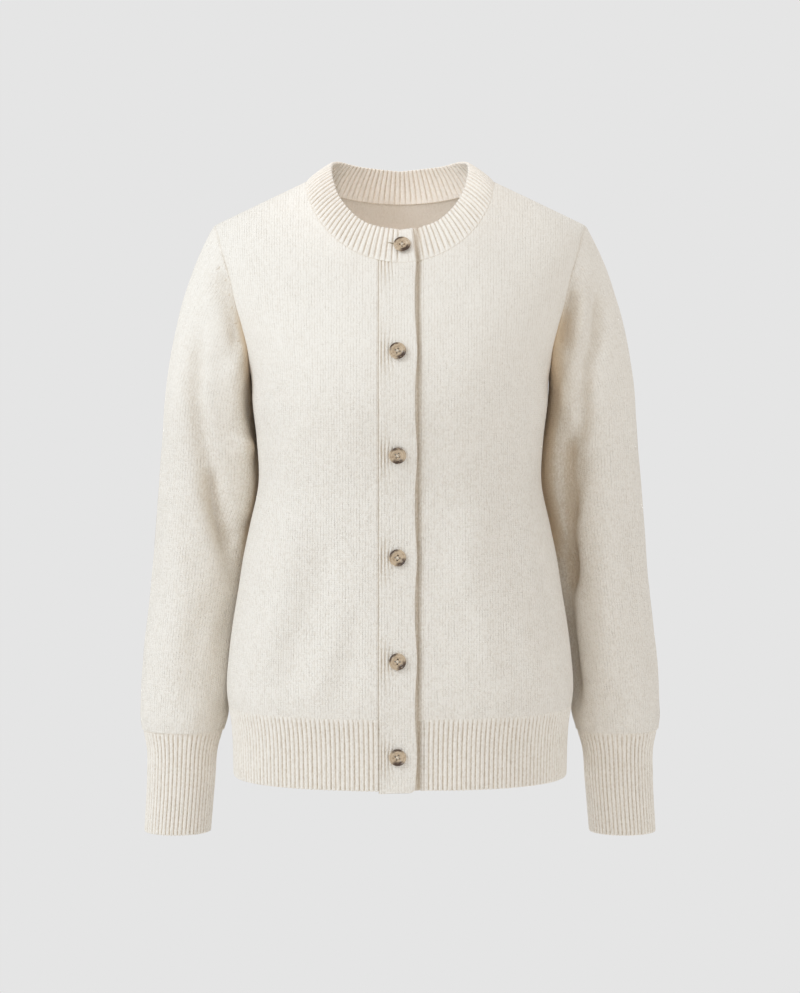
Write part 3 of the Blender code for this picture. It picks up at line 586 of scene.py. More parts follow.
def normals(grid, closed=False):
    """A grid's unit normals, pointing away from the middle line of the body, or of a closed grid's rings."""
    if closed:
        across = np.roll(grid, -1, axis=1) - np.roll(grid, 1, axis=1)
    else:
        across = np.gradient(grid, axis=1)
    along = np.gradient(grid, axis=0)
    found = unit(np.cross(across, along))
    middle = grid.mean(axis=1, keepdims=True) if closed else np.array((0.0, SIDE_Y, 0.0))
    away = (grid - middle)[..., :2]
    return found * np.sign(np.sum(found[..., :2] * away))


def flatten(vectors, axis):
    vectors = vectors.copy()
    vectors[..., axis] = 0.0
    return unit(vectors)


def front_surface(side, seam):
    """One front, from its band seam and neckline to its side seam and armhole. Rows go up from the hem."""
    start = side * seam
    low = HEM_SEAM + (ARMPIT - HEM_SEAM) * LOWER[:-1]
    first_angle = math.asin(start / NECK_HALF)
    corner_z = front_neck(first_angle)[1]
    along_neck = np.clip((YOKE - CORNER_SHARE) / (1 - CORNER_SHARE), 0, 1)
    angle = first_angle + (math.pi / 2 - first_angle) * along_neck
    neck_x, neck_z = front_neck(angle)
    beside_band = YOKE < CORNER_SHARE
    placket_z = ARMPIT + (corner_z - ARMPIT) * YOKE / CORNER_SHARE
    z0 = np.concatenate([low, np.where(beside_band, placket_z, neck_z)])[:, None]
    x0 = np.concatenate([np.full(len(low), start), np.where(beside_band, start, neck_x)])[:, None]
    outer_z = armhole_heights(-1, YOKE)
    z1 = np.concatenate([low, outer_z])[:, None]
    x1 = np.concatenate([smooth(TORSO, 1, low), smooth(ARMHOLE, 1, outer_z)])[:, None]
    first, last = turn_at(x0, z0), turn_at(x1, z1)
    x = x_at(first + (last - first) * FRONT_ACROSS, z0 + (z1 - z0) * FRONT_ACROSS)
    x[:, :1], x[:, -1:] = x0, x1
    z = z0 + (z1 - z0) * (x - x0) / (x1 - x0)
    return torso(side * x, z, -1, side)


def back_surface():
    """The back, from its left edge as seen from the front to its right one. Rows go up from the hem."""
    neck = (BACK_ACROSS - NECK_CORNER) / (1 - 2 * NECK_CORNER)
    neck_x, neck_z = back_neck(math.pi * (np.clip(neck, 0, 1) - 0.5))
    from_side = np.minimum(BACK_ACROSS, 1 - BACK_ACROSS) / NECK_CORNER
    shoulder_x = SHOULDER_HALF + (NECK_HALF - SHOULDER_HALF) * from_side
    on_neck = (neck >= 0) & (neck <= 1)
    top_x = np.where(on_neck, neck_x, np.sign(BACK_ACROSS - 0.5) * shoulder_x)
    top_z = np.where(on_neck, neck_z, shoulder_height(shoulder_x))
    turns = math.pi * (BACK_ACROSS - 0.5)
    sign = np.sign(turns)
    low = (HEM_SEAM + (ARMPIT - HEM_SEAM) * LOWER[:-1])[:, None]
    rows = [torso(sign * x_at(np.abs(turns), low), low + 0 * turns, 1)]
    z_edge = armhole_heights(1, YOKE)[:, None]
    share = (z_edge - ARMPIT) / (-SHOULDER_DROP - ARMPIT)
    z = ARMPIT + (top_z - ARMPIT) * share
    x_edge = smooth(ARMHOLE, 1, z_edge)
    x = sign * x_at(np.abs(turns) / (math.pi / 2) * turn_at(x_edge, z_edge), z_edge)
    x = x + (top_x * x_edge / SHOULDER_HALF - x) * ease(YOKE)[:, None]
    x[:, :1], x[:, -1:] = -x_edge, x_edge
    rows.append(torso(x, z, 1))
    return np.concatenate(rows)


def section(table, z, angles):
    """Level rings of a sleeve or cuff on the left side, at positive x."""
    z = np.asarray(z, float)[..., None]
    cx, cy, half_width, half_depth = (smooth(table, column, z) for column in (1, 2, 3, 4))
    x = cx + half_width * np.cos(angles)
    y = cy + half_depth * np.sin(angles)
    return np.stack([x, y, z + 0 * angles], axis=-1)


SLEEVE_ANGLES = math.pi + math.pi * np.concatenate([YOKE, 2 - YOKE[-2:0:-1]])
CAP = along_cloth(CAP_LENGTH, STEP, end_seam=False)
SLEEVE_DOWN = along_cloth(SLEEVE[0][0] - CUFF_SEAM, STEP, start_seam=False)[1:]


def sleeve_surface(armhole, folds, shift):
    """A sleeve at positive x, from its armhole down to the cuff seam, and how deep each point lies in a fold.
    Columns go from the armpit up the front, over the outside and down the back."""
    angles = SLEEVE_ANGLES
    top = SLEEVE[0][0]
    ring, below = section(SLEEVE, [top, top - CAP_STEP], angles)
    chord = ring - armhole
    reach = np.linalg.norm(chord, axis=1, keepdims=True)
    outward = np.stack([np.cos(angles), np.sin(angles), 0 * angles], axis=-1)
    turned_out = ((1 + np.cos(angles)) / 2)[:, None]
    swell = CAP_SWELL * np.sqrt(turned_out) * np.maximum(outward, (0.0, -1.0, 0.0))
    clearance = UNDERARM_CLEARANCE * (1 - turned_out) * np.array((1.0, 0.0, 0.0))
    leave = chord + reach * (swell + clearance)
    arrive = CAP_ARRIVAL * reach * unit(below - ring)
    cap = curve(CAP[:, None, None], armhole, leave, ring, arrive)
    grid = np.concatenate([cap, section(SLEEVE, top + (CUFF_SEAM - top) * SLEEVE_DOWN, angles)])
    degrees = np.degrees(angles) % 360.0
    z = grid[..., 2]
    folded = 0.0
    for points, width, deep in folds:
        points = [(SLEEVE_DEGREE * angle, height) for angle, height in points]
        folded = folded + fold_depth(SLEEVE_DEGREE * degrees, z, points, width, deep)
    depth = folded - ripple(SLEEVE_DEGREE * degrees, z + shift) + cuff_puckers(degrees, z, shift)
    start = ease(distances(grid, 0) / FOLD_START)
    grid -= (depth * start)[..., None] * outward
    return grid, ease(folded / FOLD_DEEP)


def arm_shade(grid, name):
    """How much painted shade a sleeve at positive x has where it lies against the armhole seam and the body.
    """
    z = grid[..., 2]
    gap = grid[..., 0] - np.where(z > ARMPIT, smooth(ARMHOLE, 1, z), smooth(TORSO, 1, z))
    (begins, full), (fades, ends) = ARM_SHADE_START, ARM_SHADE_END
    between = ease((begins - z) / (begins - full)) * ease((z - ends) / (fades - ends))
    return ARM_SHADE[name] * between * np.exp(-((gap / ARM_SHADE_REACH[name]) ** 2))


def cuff_puckers(degrees, z, shift):
    """Short furrows where the sleeve is drawn in to its cuff, none like the next."""
    random = np.random.default_rng(round(abs(shift)) + (shift > 0))
    depth = 0.0
    above = z - CUFF_SEAM
    for number in range(PUCKERS):
        middle = (360.0 * (number + random.uniform(-PUCKER_STRAY, PUCKER_STRAY)) / PUCKERS) % 360.0
        lean = random.uniform(-PUCKER_LEAN, PUCKER_LEAN)
        reach = random.uniform(*PUCKER_REACH)
        share = random.uniform(*PUCKER_SHARE)
        away = (degrees - middle - lean * above + 180.0) % 360.0 - 180.0
        rise = ease(above / PUCKER_START) * np.exp(-PUCKER_FADE * (above / reach) ** 2)
        depth = depth + PUCKER_DEPTH * share * rise * np.exp(-((SLEEVE_DEGREE * away / PUCKER_WIDTH) ** 2))
    return depth


def armhole_line(front_edge, back_edge):
    """The armhole's points in the sleeve's order: armpit, up the front, over the shoulder, down the back."""
    return np.concatenate([front_edge, back_edge[-2:0:-1]])


def armhole_mitre(line, body_normals, sleeve_normals):
    """Which way the armhole seam's edge faces, between the two pieces that meet there."""
    along = unit(np.roll(line, -1, axis=0) - np.roll(line, 1, axis=0))
    into_body = np.cross(body_normals, along)
    into_sleeve = np.cross(along, sleeve_normals)
    folded = np.maximum(np.sum(into_body * into_sleeve, axis=1, keepdims=True), 0.0)
    return unit(body_normals + sleeve_normals + folded * (into_body + into_sleeve))


# ------------------------------------------------------------------ shells


def seam_dip(grid, edges, closed=False, reach=SEAM_REACH):
    """How far the cloth rolls in beside each seam."""
    down, across = distances(grid, 0), distances(grid, 1)
    away = {
        "first_row": down,
        "last_row": down[-1:] - down,
        "first_column": across,
        "last_column": across[:, -1:] - across,
    }
    if closed:
        step = np.linalg.norm(grid[:, :1] - grid[:, -1:], axis=-1)
        away["join"] = np.minimum(across, across[:, -1:] + step - across)
    nearest = np.min([away[edge] for edge in edges], axis=0)
    return SEAM_DIP * np.exp(-((nearest / reach) ** 2))


def round_off(layers, *edges):
    """Turns free edges over from the outer face to the inner one. Layers are the two faces, and the grids
    that go with their points."""
    for edge in edges:
        turned = edge in ("first_column", "last_column")
        flipped = edge in ("first_row", "first_column")
        grids = [np.swapaxes(g, 0, 1) if turned else g for g in layers]
        outer, inner, *rest = [g[::-1] if flipped else g for g in grids]
        middle, half = (outer[-1] + inner[-1]) / 2, (outer[-1] - inner[-1]) / 2
        before = (outer[-2] + inner[-2]) / 2
        radius = np.linalg.norm(half, axis=-1, keepdims=True)
        onward = unit(middle - before)
        room = np.minimum(radius, EDGE_ROOM * np.linalg.norm(middle - before, axis=-1, keepdims=True))
        middle = middle - room * onward
        faces = []
        for face, way in ((outer, 1), (inner, -1)):
            turns = np.linspace(0, EDGE_TURN, EDGE_STEPS + 1)
            more = [middle + way * half * math.cos(a) + onward * radius * math.sin(a) for a in turns]
            faces.append(np.concatenate([face[:-1], more]))
        grids = faces + [np.concatenate([g] + [g[-1:]] * EDGE_STEPS) for g in rest]
        grids = [g[::-1] if flipped else g for g in grids]
        layers = [np.swapaxes(g, 0, 1) if turned else g for g in grids]
    return layers


def shell(name, outer, inner, uv, deep, inside=None, closed=False):
    """A closed mesh between two grids, with a UV map in millimetres of cloth, and an attribute of painted
    shade, deep, which says how deep a point lies between ribs, in a seam, a fold or a lap, on the outer face
    and, where it isn't the same, on the inner one. A closed grid's UV map has one column more than its
    points."""
    rows, columns = outer.shape[:2]
    wide = columns if closed else columns - 1
    points = np.concatenate([outer.reshape(-1, 3), inner.reshape(-1, 3)]) * MM
    index = np.arange(rows * columns).reshape(rows, columns)
    following = np.roll(index, -1, axis=1)[:, :wide]
    index_left = index[:, :wide]
    uv_left, uv_right = uv[:, :wide], uv[:, 1 : wide + 1]
    under = rows * columns
    faces, maps = [], []

    def quads(*corners):
        faces.append(np.stack([c.reshape(-1) for c, _ in corners], axis=1))
        maps.append(np.stack([m.reshape(-1, 2) for _, m in corners], axis=1))

    a, b = (index_left[:-1], uv_left[:-1]), (following[:-1], uv_right[:-1])
    c, d = (following[1:], uv_right[1:]), (index_left[1:], uv_left[1:])
    quads(a, b, c, d)
    quads(*[(i + under, m) for i, m in (d, c, b, a)])
    edges = [[(index_left[row], uv_left[row]), (following[row], uv_right[row])] for row in (0, -1)]
    edges[0].reverse()
    if not closed:
        ends = [[(index[:-1, c], uv[:-1, c]), (index[1:, c], uv[1:, c])] for c in (0, -1)]
        ends[1].reverse()
        edges += ends
    for edge in edges:
        quads(*edge, *[(i + under, m) for i, m in reversed(edge)])
    faces, maps = np.concatenate(faces), np.concatenate(maps)
    p, q, r, s = (points[faces[:, k]] for k in range(4))
    volume = np.einsum("ij,ij->", p, np.cross(q, r)) + np.einsum("ij,ij->", p, np.cross(r, s))
    if volume < 0:
        faces, maps = faces[:, ::-1], maps[:, ::-1]
    mesh = bpy.data.meshes.new(name)
    mesh.vertices.add(len(points))
    mesh.vertices.foreach_set("co", points.ravel())
    mesh.loops.add(faces.size)
    mesh.loops.foreach_set("vertex_index", faces.ravel())
    mesh.polygons.add(len(faces))
    mesh.polygons.foreach_set("loop_start", np.arange(0, faces.size, 4))
    mesh.update(calc_edges=True)
    mesh.uv_layers.new(name="knit").data.foreach_set("uv", maps.ravel())
    both = np.concatenate([deep.ravel(), (deep if inside is None else inside).ravel()])
    mesh.attributes.new("deep", "FLOAT", "POINT").data.foreach_set("value", both)
    mesh.shade_smooth()
    mesh.set_sharp_from_angle(angle=SHARP_EDGE)
    mesh.validate()
    return new_piece(name, mesh)


def mirrored(points, side):
    """Points of the left side, as they are on the given one."""
    return points * np.array((side, 1.0, 1.0))


def new_piece(name, mesh):
    item = bpy.data.objects.new(name, mesh)
    bpy.context.scene.collection.objects.link(item)
    return item


def dress(piece, material, slot, *nodes):
    """Gives a piece its material and the body it rides on, and hides the nodes it stands for. Its slot is not
    used.
    """
    piece.data.materials.clear()
    piece.data.materials.append(material)
    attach(piece, "root")
    if nodes:
        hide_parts(*nodes)
    return piece


def knit_map(grid):
    """UVs of a ribbed strip or band: along the cloth across it, and its height down it."""
    return np.stack([distances(grid, 1), grid[..., 2]], axis=-1)


def panel_map(grid, facing):
    """UVs of a body panel, whose stitch columns run straight up it, evenly spaced round the body."""
    x, z = grid[..., 0], grid[..., 2]
    half, depth, square = (smooth(TORSO, column, z) for column in (1, 2 if facing < 0 else 3, 4))
    across = np.linspace(0.0, 1.0, PANEL_SAMPLES)[:, None, None] * x
    out = depth * (1 - np.clip(np.abs(across) / half, 0.0, 1.0) ** square) ** (1 / square)
    along = np.hypot(np.diff(across, axis=0), np.diff(out, axis=0)).sum(axis=0)
    return np.stack([np.sign(x) * along, z], axis=-1)


def sleeve_map(grid):
    """UVs of a sleeve, whose stitch rows are level from the bicep down."""
    down = distances(grid, 0)
    down = down[len(CAP) - 1] - down
    turns = np.append(SLEEVE_ANGLES, SLEEVE_ANGLES[0] + TURN)
    down = np.concatenate([down, down[:, :1]], axis=1)
    return np.stack(np.broadcast_arrays(SLEEVE_RADIUS * turns, down), axis=-1)


# ------------------------------------------------------------------ ribs


def rib_places(count, closed=False):
    """Places from 0 to 1 across a ribbed strip, and how high each stands between valley (0) and crest (1)."""
    phases = np.array(RIB_PHASES)
    places = (np.arange(count)[:, None] + phases).ravel()
    height = np.tile(rib_height(phases), count)
    if not closed:
        places, height = np.append(places, count), np.append(height, rib_height(np.zeros(1)))
    return places / count, height


def rib_height(phase):
    from_valley = np.minimum(phase % 1.0, 1 - phase % 1.0)
    return 1 - np.exp(-((from_valley / RIB_VALLEY) ** 2))


def rib_sizes(count, seed, amount, closed=False):
    """Small differences from rib to rib, the same each time, at the places across a strip."""
    sizes = np.repeat(1 + amount * np.random.default_rng(seed).uniform(-1, 1, count), len(RIB_PHASES))
    return sizes if closed else np.append(sizes, 1.0)


def rib_rows(seam, edge):
    """Heights of a strip's rows, from its seam down to its free edge."""
    return seam + (edge - seam) * along_cloth(seam - edge, RIB_STEP)


def rib_relief():
    return bpy.context.scene.cardigan_knit.rib_relief / MM


def ribbed(surface, out, height, each, down):
    """The two faces of a ribbed strip that grows out of its upper seam, and how deep its points lie, which
    sets their painted shade. Down is how far each row is from that seam."""
    fade = RIB_START + (1 - RIB_START) * ease(down / RIB_FADE)[:, None]
    lift = rib_relief() * (height - RIB_MEAN) * each * fade
    return surface + lift[..., None] * out, surface - RIB_WALL * out, (1 - height) * fade


# ------------------------------------------------------------------ forms that pieces share

FORMS = {}


def forms():
    """The body panels and bands, their normals and the seam lines between them, worked out once."""
    if FORMS:
        return FORMS
    fronts = {side: front_surface(side, BAND_SEAMS[side]) for side, _ in SIDES}
    back = back_surface()
    front_out = {side: normals(grid) for side, grid in fronts.items()}
    back_out = normals(back)
    for out in (*front_out.values(), back_out):
        out[0] = flatten(out[0], 2)
    for out in (*front_out.values(), back_out[:, : NECK_START + 1], back_out[:, -NECK_START - 1 :]):
        out[-1] = flatten(out[-1], 1)
    sleeves = {}
    for side, name in SIDES:
        out = front_out[side]
        out[: CORNER_ROW + 1, 0] = flatten(out[: CORNER_ROW + 1, 0], 0)
        column = 0 if side < 0 else -1
        both = unit(out[: YOKE_ROW + 1, -1] + back_out[: YOKE_ROW + 1, column])
        out[: YOKE_ROW + 1, -1] = back_out[: YOKE_ROW + 1, column] = both
        out[-1, -1] = back_out[-1, column] = unit(out[-1, -1] + back_out[-1, column])
        line = mirrored(armhole_line(fronts[side][YOKE_ROW:, -1], back[YOKE_ROW:, column]), side)
        body = mirrored(armhole_line(out[YOKE_ROW:, -1], back_out[YOKE_ROW:, column]), side)
        sleeve, folded = sleeve_surface(line, SLEEVE_FOLDS[name], RIPPLE_SHIFT * side)
        sleeve_out = normals(sleeve, closed=True)
        sleeve_out[-1] = flatten(sleeve_out[-1], 2)
        mitre = armhole_mitre(line, body, sleeve_out[0])
        sleeve_out[0] = mitre
        up = np.arange(len(YOKE))
        out[YOKE_ROW:, -1] = mirrored(mitre[up], side)
        back_out[YOKE_ROW:, column] = mirrored(mitre[-up], side)
        sleeves[side] = (sleeve, sleeve_out, folded)
    FORMS.update(fronts=fronts, front_out=front_out, back=back, back_out=back_out, sleeves=sleeves)
    bands = {-1: band_surface(-1), 1: band_surface(1)}
    FORMS.update(bands=bands)
    return FORMS


# ------------------------------------------------------------------ bands


def band_edge(z):
    """The buttonhole band's free edge: it stands out beside each button and draws back between them."""
    wave = sum(np.exp(-(((z - button) / BAND_WAVE_REACH) ** 2)) for _, button in BUTTONS)
    corner = np.clip(1 - (z - BAND_EDGE) / BAND_CORNER, 0.0, 1.0)
    return BAND_TOP_EDGE + BAND_WAVE * wave - BAND_CORNER * (1 - np.sqrt(1 - corner**2))


BAND_GROOVES = (
    # places across the band from its seam, reach above the button's middle, reach below, lean, depth
    (2.9, 27.0, 34.0, 0.2, 1.15),
    (6.1, 23.0, 29.0, 0.7, 1.10),
    (9.4, 17.0, 24.0, 1.3, 1.00),
    (12.3, 12.0, 18.0, 1.9, 0.80),
)
GROOVE_WIDTH = 0.62
GROOVE_FADE = 1.3  # the higher, the shorter a furrow
NECKLINE_GROOVES = -77.0  # the same furrows fan out below the neckband's buttonhole
GROOVE_SHADE = 1.3  # painted shade in a furrow for each millimetre of its depth
BAND_SHADE = 1.15  # and at most
# The under layer sinks beside the edge that laps over it, and has painted shade there
UNDER_DIP = 2.6
UNDER_SHADE = 1.15
UNDER_MIDDLE = 16.5
UNDER_REACH = 3.4
UNDER_RIB = (18.4, 0.9, 0.9)  # place, width and depth of the furrow that the hem's ribs run on into


def under_lap(x):
    """How close a point of the under layer is to the free edge that lies over it, which sets how far it sinks
    and how much painted shade it has.
    """
    return np.exp(-(((x - UNDER_MIDDLE) / UNDER_REACH) ** 2))


def band_surface(side):
    """A button band's surface from its seam to its free edge. Rows go up from the hem to the neckline."""
    seam = BAND_SEAMS[side]
    edge = band_edge if side < 0 else (lambda z: BAND_UNDER_EDGE + 0 * z)
    share = along_cloth(BAND_WIDTH, BAND_STEP[side], end_seam=False)
    corner = edge(np.array(-FRONT_NECK_DROP))
    top = front_neck(np.arcsin((seam + (corner - seam) * share) / NECK_HALF))[1]
    up = along_cloth(BAND_LENGTH, STEP, start_seam=False)
    up = np.sort(np.concatenate([up, np.array(BAND_CORNER_ROWS) / BAND_LENGTH]))[:, None]
    end = BAND_EDGE if side < 0 else HEM_EDGE
    z = end + (top - end) * up
    x = seam + (edge(z) - seam) * share
    return torso(x, z, -1, side)


def groove_depth(x, z):
    """The furrows beside each buttonhole, where the button's pull parts the stitch columns."""
    depth = 0 * x
    for button in (NECKLINE_GROOVES, *[height for _, height in BUTTONS[1:]]):
        for place, above, below, lean, deep in BAND_GROOVES:
            rise = z - button
            reach = np.where(rise > 0, above, below)
            fade = np.exp(-GROOVE_FADE * (rise / reach) ** 2)
            centre = BAND_SEAMS[-1] + place + lean * (rise / reach) ** 2
            depth = depth + deep * fade * np.exp(-(((x - centre) / GROOVE_WIDTH) ** 2))
    return depth


# ------------------------------------------------------------------ neckband and stitches

LINK_PITCH = 2.4
LINK_OUTSIDE = (0.45, 0.34)  # how far the linking thread lies under the outer face, and its radius
LINK_INSIDE = (JERSEY + 0.25, 0.5)
MARKS = (0.36, 0.44, 0.51, 0.58, 0.65, 0.72)  # places up the armhole from the armpit
MARK_DISTANCE = 9.0
MARK_LENGTH = 5.2
MARK_RADIUS = 1.0
MARK_LEAN = 0.5
SLIT = (15.0, 0.0)  # length of an upright buttonhole, and how far its middle is from the button's
NECK_SLIT = (17.0, -5.2)
NECK_SLIT_LEAN = math.radians(-12)
SLIT_STAND = 0.1
NECK_STAND = 0.4  # how far a thing on the neckband lies off its crown
SLIT_PITCH = 0.42  # of the stitches that bind a slit
SLIT_GAPE = 0.85
LIP = (0.3, 0.32, 0.07)  # how far a lip lies from the middle, its radius and how much that varies
# the tube of painted shade in the slit: its radius at the ends, and how much more it has in the middle
SLIT_SHADE_RADIUS = (0.2, 0.65)


def neck_angles(seam):
    quarter = np.arcsin(np.clip(seam[:, 0] / NECK_HALF, -1.0, 1.0))
    behind = seam[:, 1] >= SIDE_Y
    second_half = np.arange(len(seam)) > len(seam) // 2
    return np.where(behind, -math.pi - quarter, np.where(second_half, quarter - TURN, quarter))


def rim_point(angle, layer):
    turn = math.pi - np.abs(np.abs(angle) % TURN - math.pi)
    x = RIM_HALF * np.sin(angle)
    reach = np.where(turn < math.pi / 2, RIM_FRONT, RIM_BACK)
    y = SIDE_Y - reach * np.sign(np.cos(turn)) * np.abs(np.cos(turn)) ** RIM_SQUARENESS
    return np.stack([x, y - layer, smooth(RIM, 1, np.degrees(turn))], axis=-1)


def neck_seam():
    """The neckline seam, from the buttonhole band's corner round the back to the button band's corner, with
    its normals and how far each point is lifted to lap."""
    made = forms()
    bands, fronts, back = made["bands"], made["fronts"], made["back"]
    band_out = {side: flatten(normals(grid), 0) for side, grid in bands.items()}
    across_back = slice(NECK_START + 1, -NECK_START - 1)
    stretches = [
        (bands[-1][-1][::-1], band_out[-1][-1][::-1]),
        (fronts[-1][CORNER_ROW + 1 :, 0], made["front_out"][-1][CORNER_ROW + 1 :, 0]),
        (back[-1][across_back], made["back_out"][-1][across_back]),
        (fronts[1][CORNER_ROW:, 0][::-1], made["front_out"][1][CORNER_ROW:, 0][::-1]),
        (bands[1][-1][1:], band_out[1][-1][1:]),
    ]
    line = np.concatenate([points for points, _ in stretches])
    out = np.concatenate([out for _, out in stretches])
    half = np.argmin(np.abs(line[:, 0]) + 1000 * (line[:, 1] < SIDE_Y))
    layer = np.concatenate([lap(line[:half, 0], -1), lap(line[half:, 0], 1)]) * (line[:, 1] < SIDE_Y)
    angle = neck_angles(line)
    return line, out, layer, angle


def neckband_surface(places, up):
    """The neckband's surface with its normals, at places along it and shares of its height."""
    line, out, layer, angle = neck_seam()
    foot = spaced(line, line, places)
    foot_out = unit(spaced(line, out, places))
    rim = rim_point(spaced(line, angle, places), spaced(line, layer, places))
    from_end = lengths_along(line)[-1] * places
    drop = np.clip(1 - from_end / NECKBAND_CORNER, 0.0, 1.0)
    height = np.linalg.norm(rim - foot, axis=1)
    shorter = 1 - NECKBAND_CORNER * (1 - np.sqrt(1 - drop**2)) / height
    share = (up[:, None] * shorter)[..., None]
    surface = foot + (rim - foot) * share
    normal = normals(surface)
    surface = surface + NECKBAND_CROWN * np.sin(math.pi * share) * normal
    for end in (0, -1):
        normal[:, end] = flatten(normal[:, end], 0)
    normal[0] = foot_out
    return surface, normal


# ------------------------------------------------------------------ materials


def feed(tree, node, inputs):
    """Gives a node its inputs, by name or in order. Each is a value or another node's output."""
    for name, value in inputs.items() if isinstance(inputs, dict) else enumerate(inputs):
        if isinstance(value, bpy.types.NodeSocket):
            tree.links.new(value, node.inputs[name])
        else:
            node.inputs[name].default_value = value


def add(tree, kind, inputs=(), output=0, **settings):
    """Adds a node with its settings and links, and returns one of its outputs."""
    node = tree.nodes.new(f"ShaderNode{kind}")
    for name, value in settings.items():
        setattr(node, name, value)
    feed(tree, node, inputs)
    return node.outputs[output]


def work_out(tree, known, rows):
    """Adds nodes row by row. A row is the name of its result, its kind of node or sum, and its inputs, each a
    value or the name of what is known by then."""
    for name, kind, *inputs in rows:
        inputs = [known[value] if isinstance(value, str) else value for value in inputs]
        if kind.isupper():
            known[name] = add(tree, "Math", inputs, operation=kind)
        else:
            known[name] = add(tree, kind, inputs)


def blank_material(name):
    material = bpy.data.materials.new(name)
    material.use_nodes = True
    tree = material.node_tree
    shader = tree.nodes["Principled BSDF"]
    return material, tree, shader


NOISE_ROUGHNESS = 0.6
STITCHES = (
    # a column of stitches shows for a few centimetres, then sinks into the felt
    ("streak", "MapRange", "streaks", 0.38, 0.62, 0.4, 1.0),
    # the columns wander a little, and each is two slanting legs with a gap beside them
    ("wander", "MULTIPLY_ADD", "cloud", 1.2, -0.6),
    ("strayed", "ADD", "across", "wander"),
    ("wale", "DIVIDE", "strayed", "wale_width"),
    ("course", "DIVIDE", "up", "course_height"),
    ("within", "FRACT", "wale"),
    ("off_middle", "MULTIPLY_ADD", "within", 2.0, -1.0),
    ("from_middle", "ABSOLUTE", "off_middle"),
    ("wale_turn", "MULTIPLY", "wale", TURN),
    ("wave", "SINE", "wale_turn"),
    ("legs", "ABSOLUTE", "wave"),
    ("slanted", "MULTIPLY_ADD", "from_middle", 0.45, "course"),
    ("course_turn", "MULTIPLY", "slanted", TURN),
    ("rows", "SINE", "course_turn"),
    ("border", "POWER", "from_middle", 5.0),
    ("gap", "MULTIPLY", "border", "streak"),
    ("round_legs", "POWER", "legs", 0.7),
    ("row_height", "MULTIPLY_ADD", "rows", 0.34, 0.6),
    ("loop", "MULTIPLY", "round_legs", "row_height"),
    ("loop_height", "MULTIPLY", "loop", 0.8),
    ("gap_depth", "MULTIPLY", "gap", 0.75),
    ("stitch", "SUBTRACT", "loop_height", "gap_depth"),
    # the columns are plainest over the chest and shoulders, which rub least, and worn away inside the nape
    ("uneven_height", "MULTIPLY_ADD", "broad", 0.16, "z"),
    ("high", "MapRange", "uneven_height", -0.2, -0.06, 0.0, 1.0),
    ("behind", "MapRange", "y", 0.03, 0.05, 0.0, 1.0),
    ("near_neck", "MapRange", "z", -0.09, -0.05, 0.0, 1.0),
    ("nape", "MULTIPLY", "behind", "near_neck"),
    ("worn", "MULTIPLY_ADD", "nape", -0.9, 1.0),
)
WOOL_SHADES = (
    # the middle of a stitch is open to the light, and the gap beside it isn't
    ("sunk", "SUBTRACT", 0.6, "stitch"),
    ("shown_shade", "MULTIPLY", "shown", 0.26),
    ("dark", "MULTIPLY", "sunk", "shown_shade"),
    # painted shade in the gaps, plainest up the middle of the body
    ("sideways", "ABSOLUTE", "x"),
    ("central", "MapRange", "sideways", 0.150, 0.175, 1.0, 0.25),
    ("upper", "MapRange", "high", 0.0, 1.0, 0.3, 1.0),
    ("lined", "MULTIPLY", "central", "upper"),
    ("lined_here", "MULTIPLY", "lined", "worn"),
    ("line_shade", "MULTIPLY", "lined_here", 0.3),
    ("lines", "MULTIPLY", "gap", "line_shade"),
    # each leg of a stitch, and each tuft of fibre, takes the light a little differently
    ("chest", "MapRange", "high", 0.0, 1.0, 1.0, 0.6),
    ("leg_shade", "MULTIPLY_ADD", "each_leg", 0.44, -0.22),
    ("grain", "MULTIPLY", "leg_shade", "chest"),
    ("tuft_shade", "MULTIPLY_ADD", "tuft", 0.5, -0.25),
    ("speckle", "MULTIPLY", "tuft_shade", "chest"),
    ("patch", "MULTIPLY_ADD", "cloud", 0.16, -0.08),
    ("furrows", "ADD", "dark", "lines"),
    ("fibres", "ADD", "grain", "speckle"),
    ("fine", "ADD", "furrows", "fibres"),
    ("surface", "ADD", "fine", "patch"),
    # painted shade from the deep attribute: between ribs, in seams and furrows, and where layers lie close
    ("valley", "MULTIPLY", "deep", 0.66),
    ("total", "ADD", "surface", "valley"),
    ("shaded", "MapRange", "deep", 1.0, 2.0, 0.0, 1.0),
)


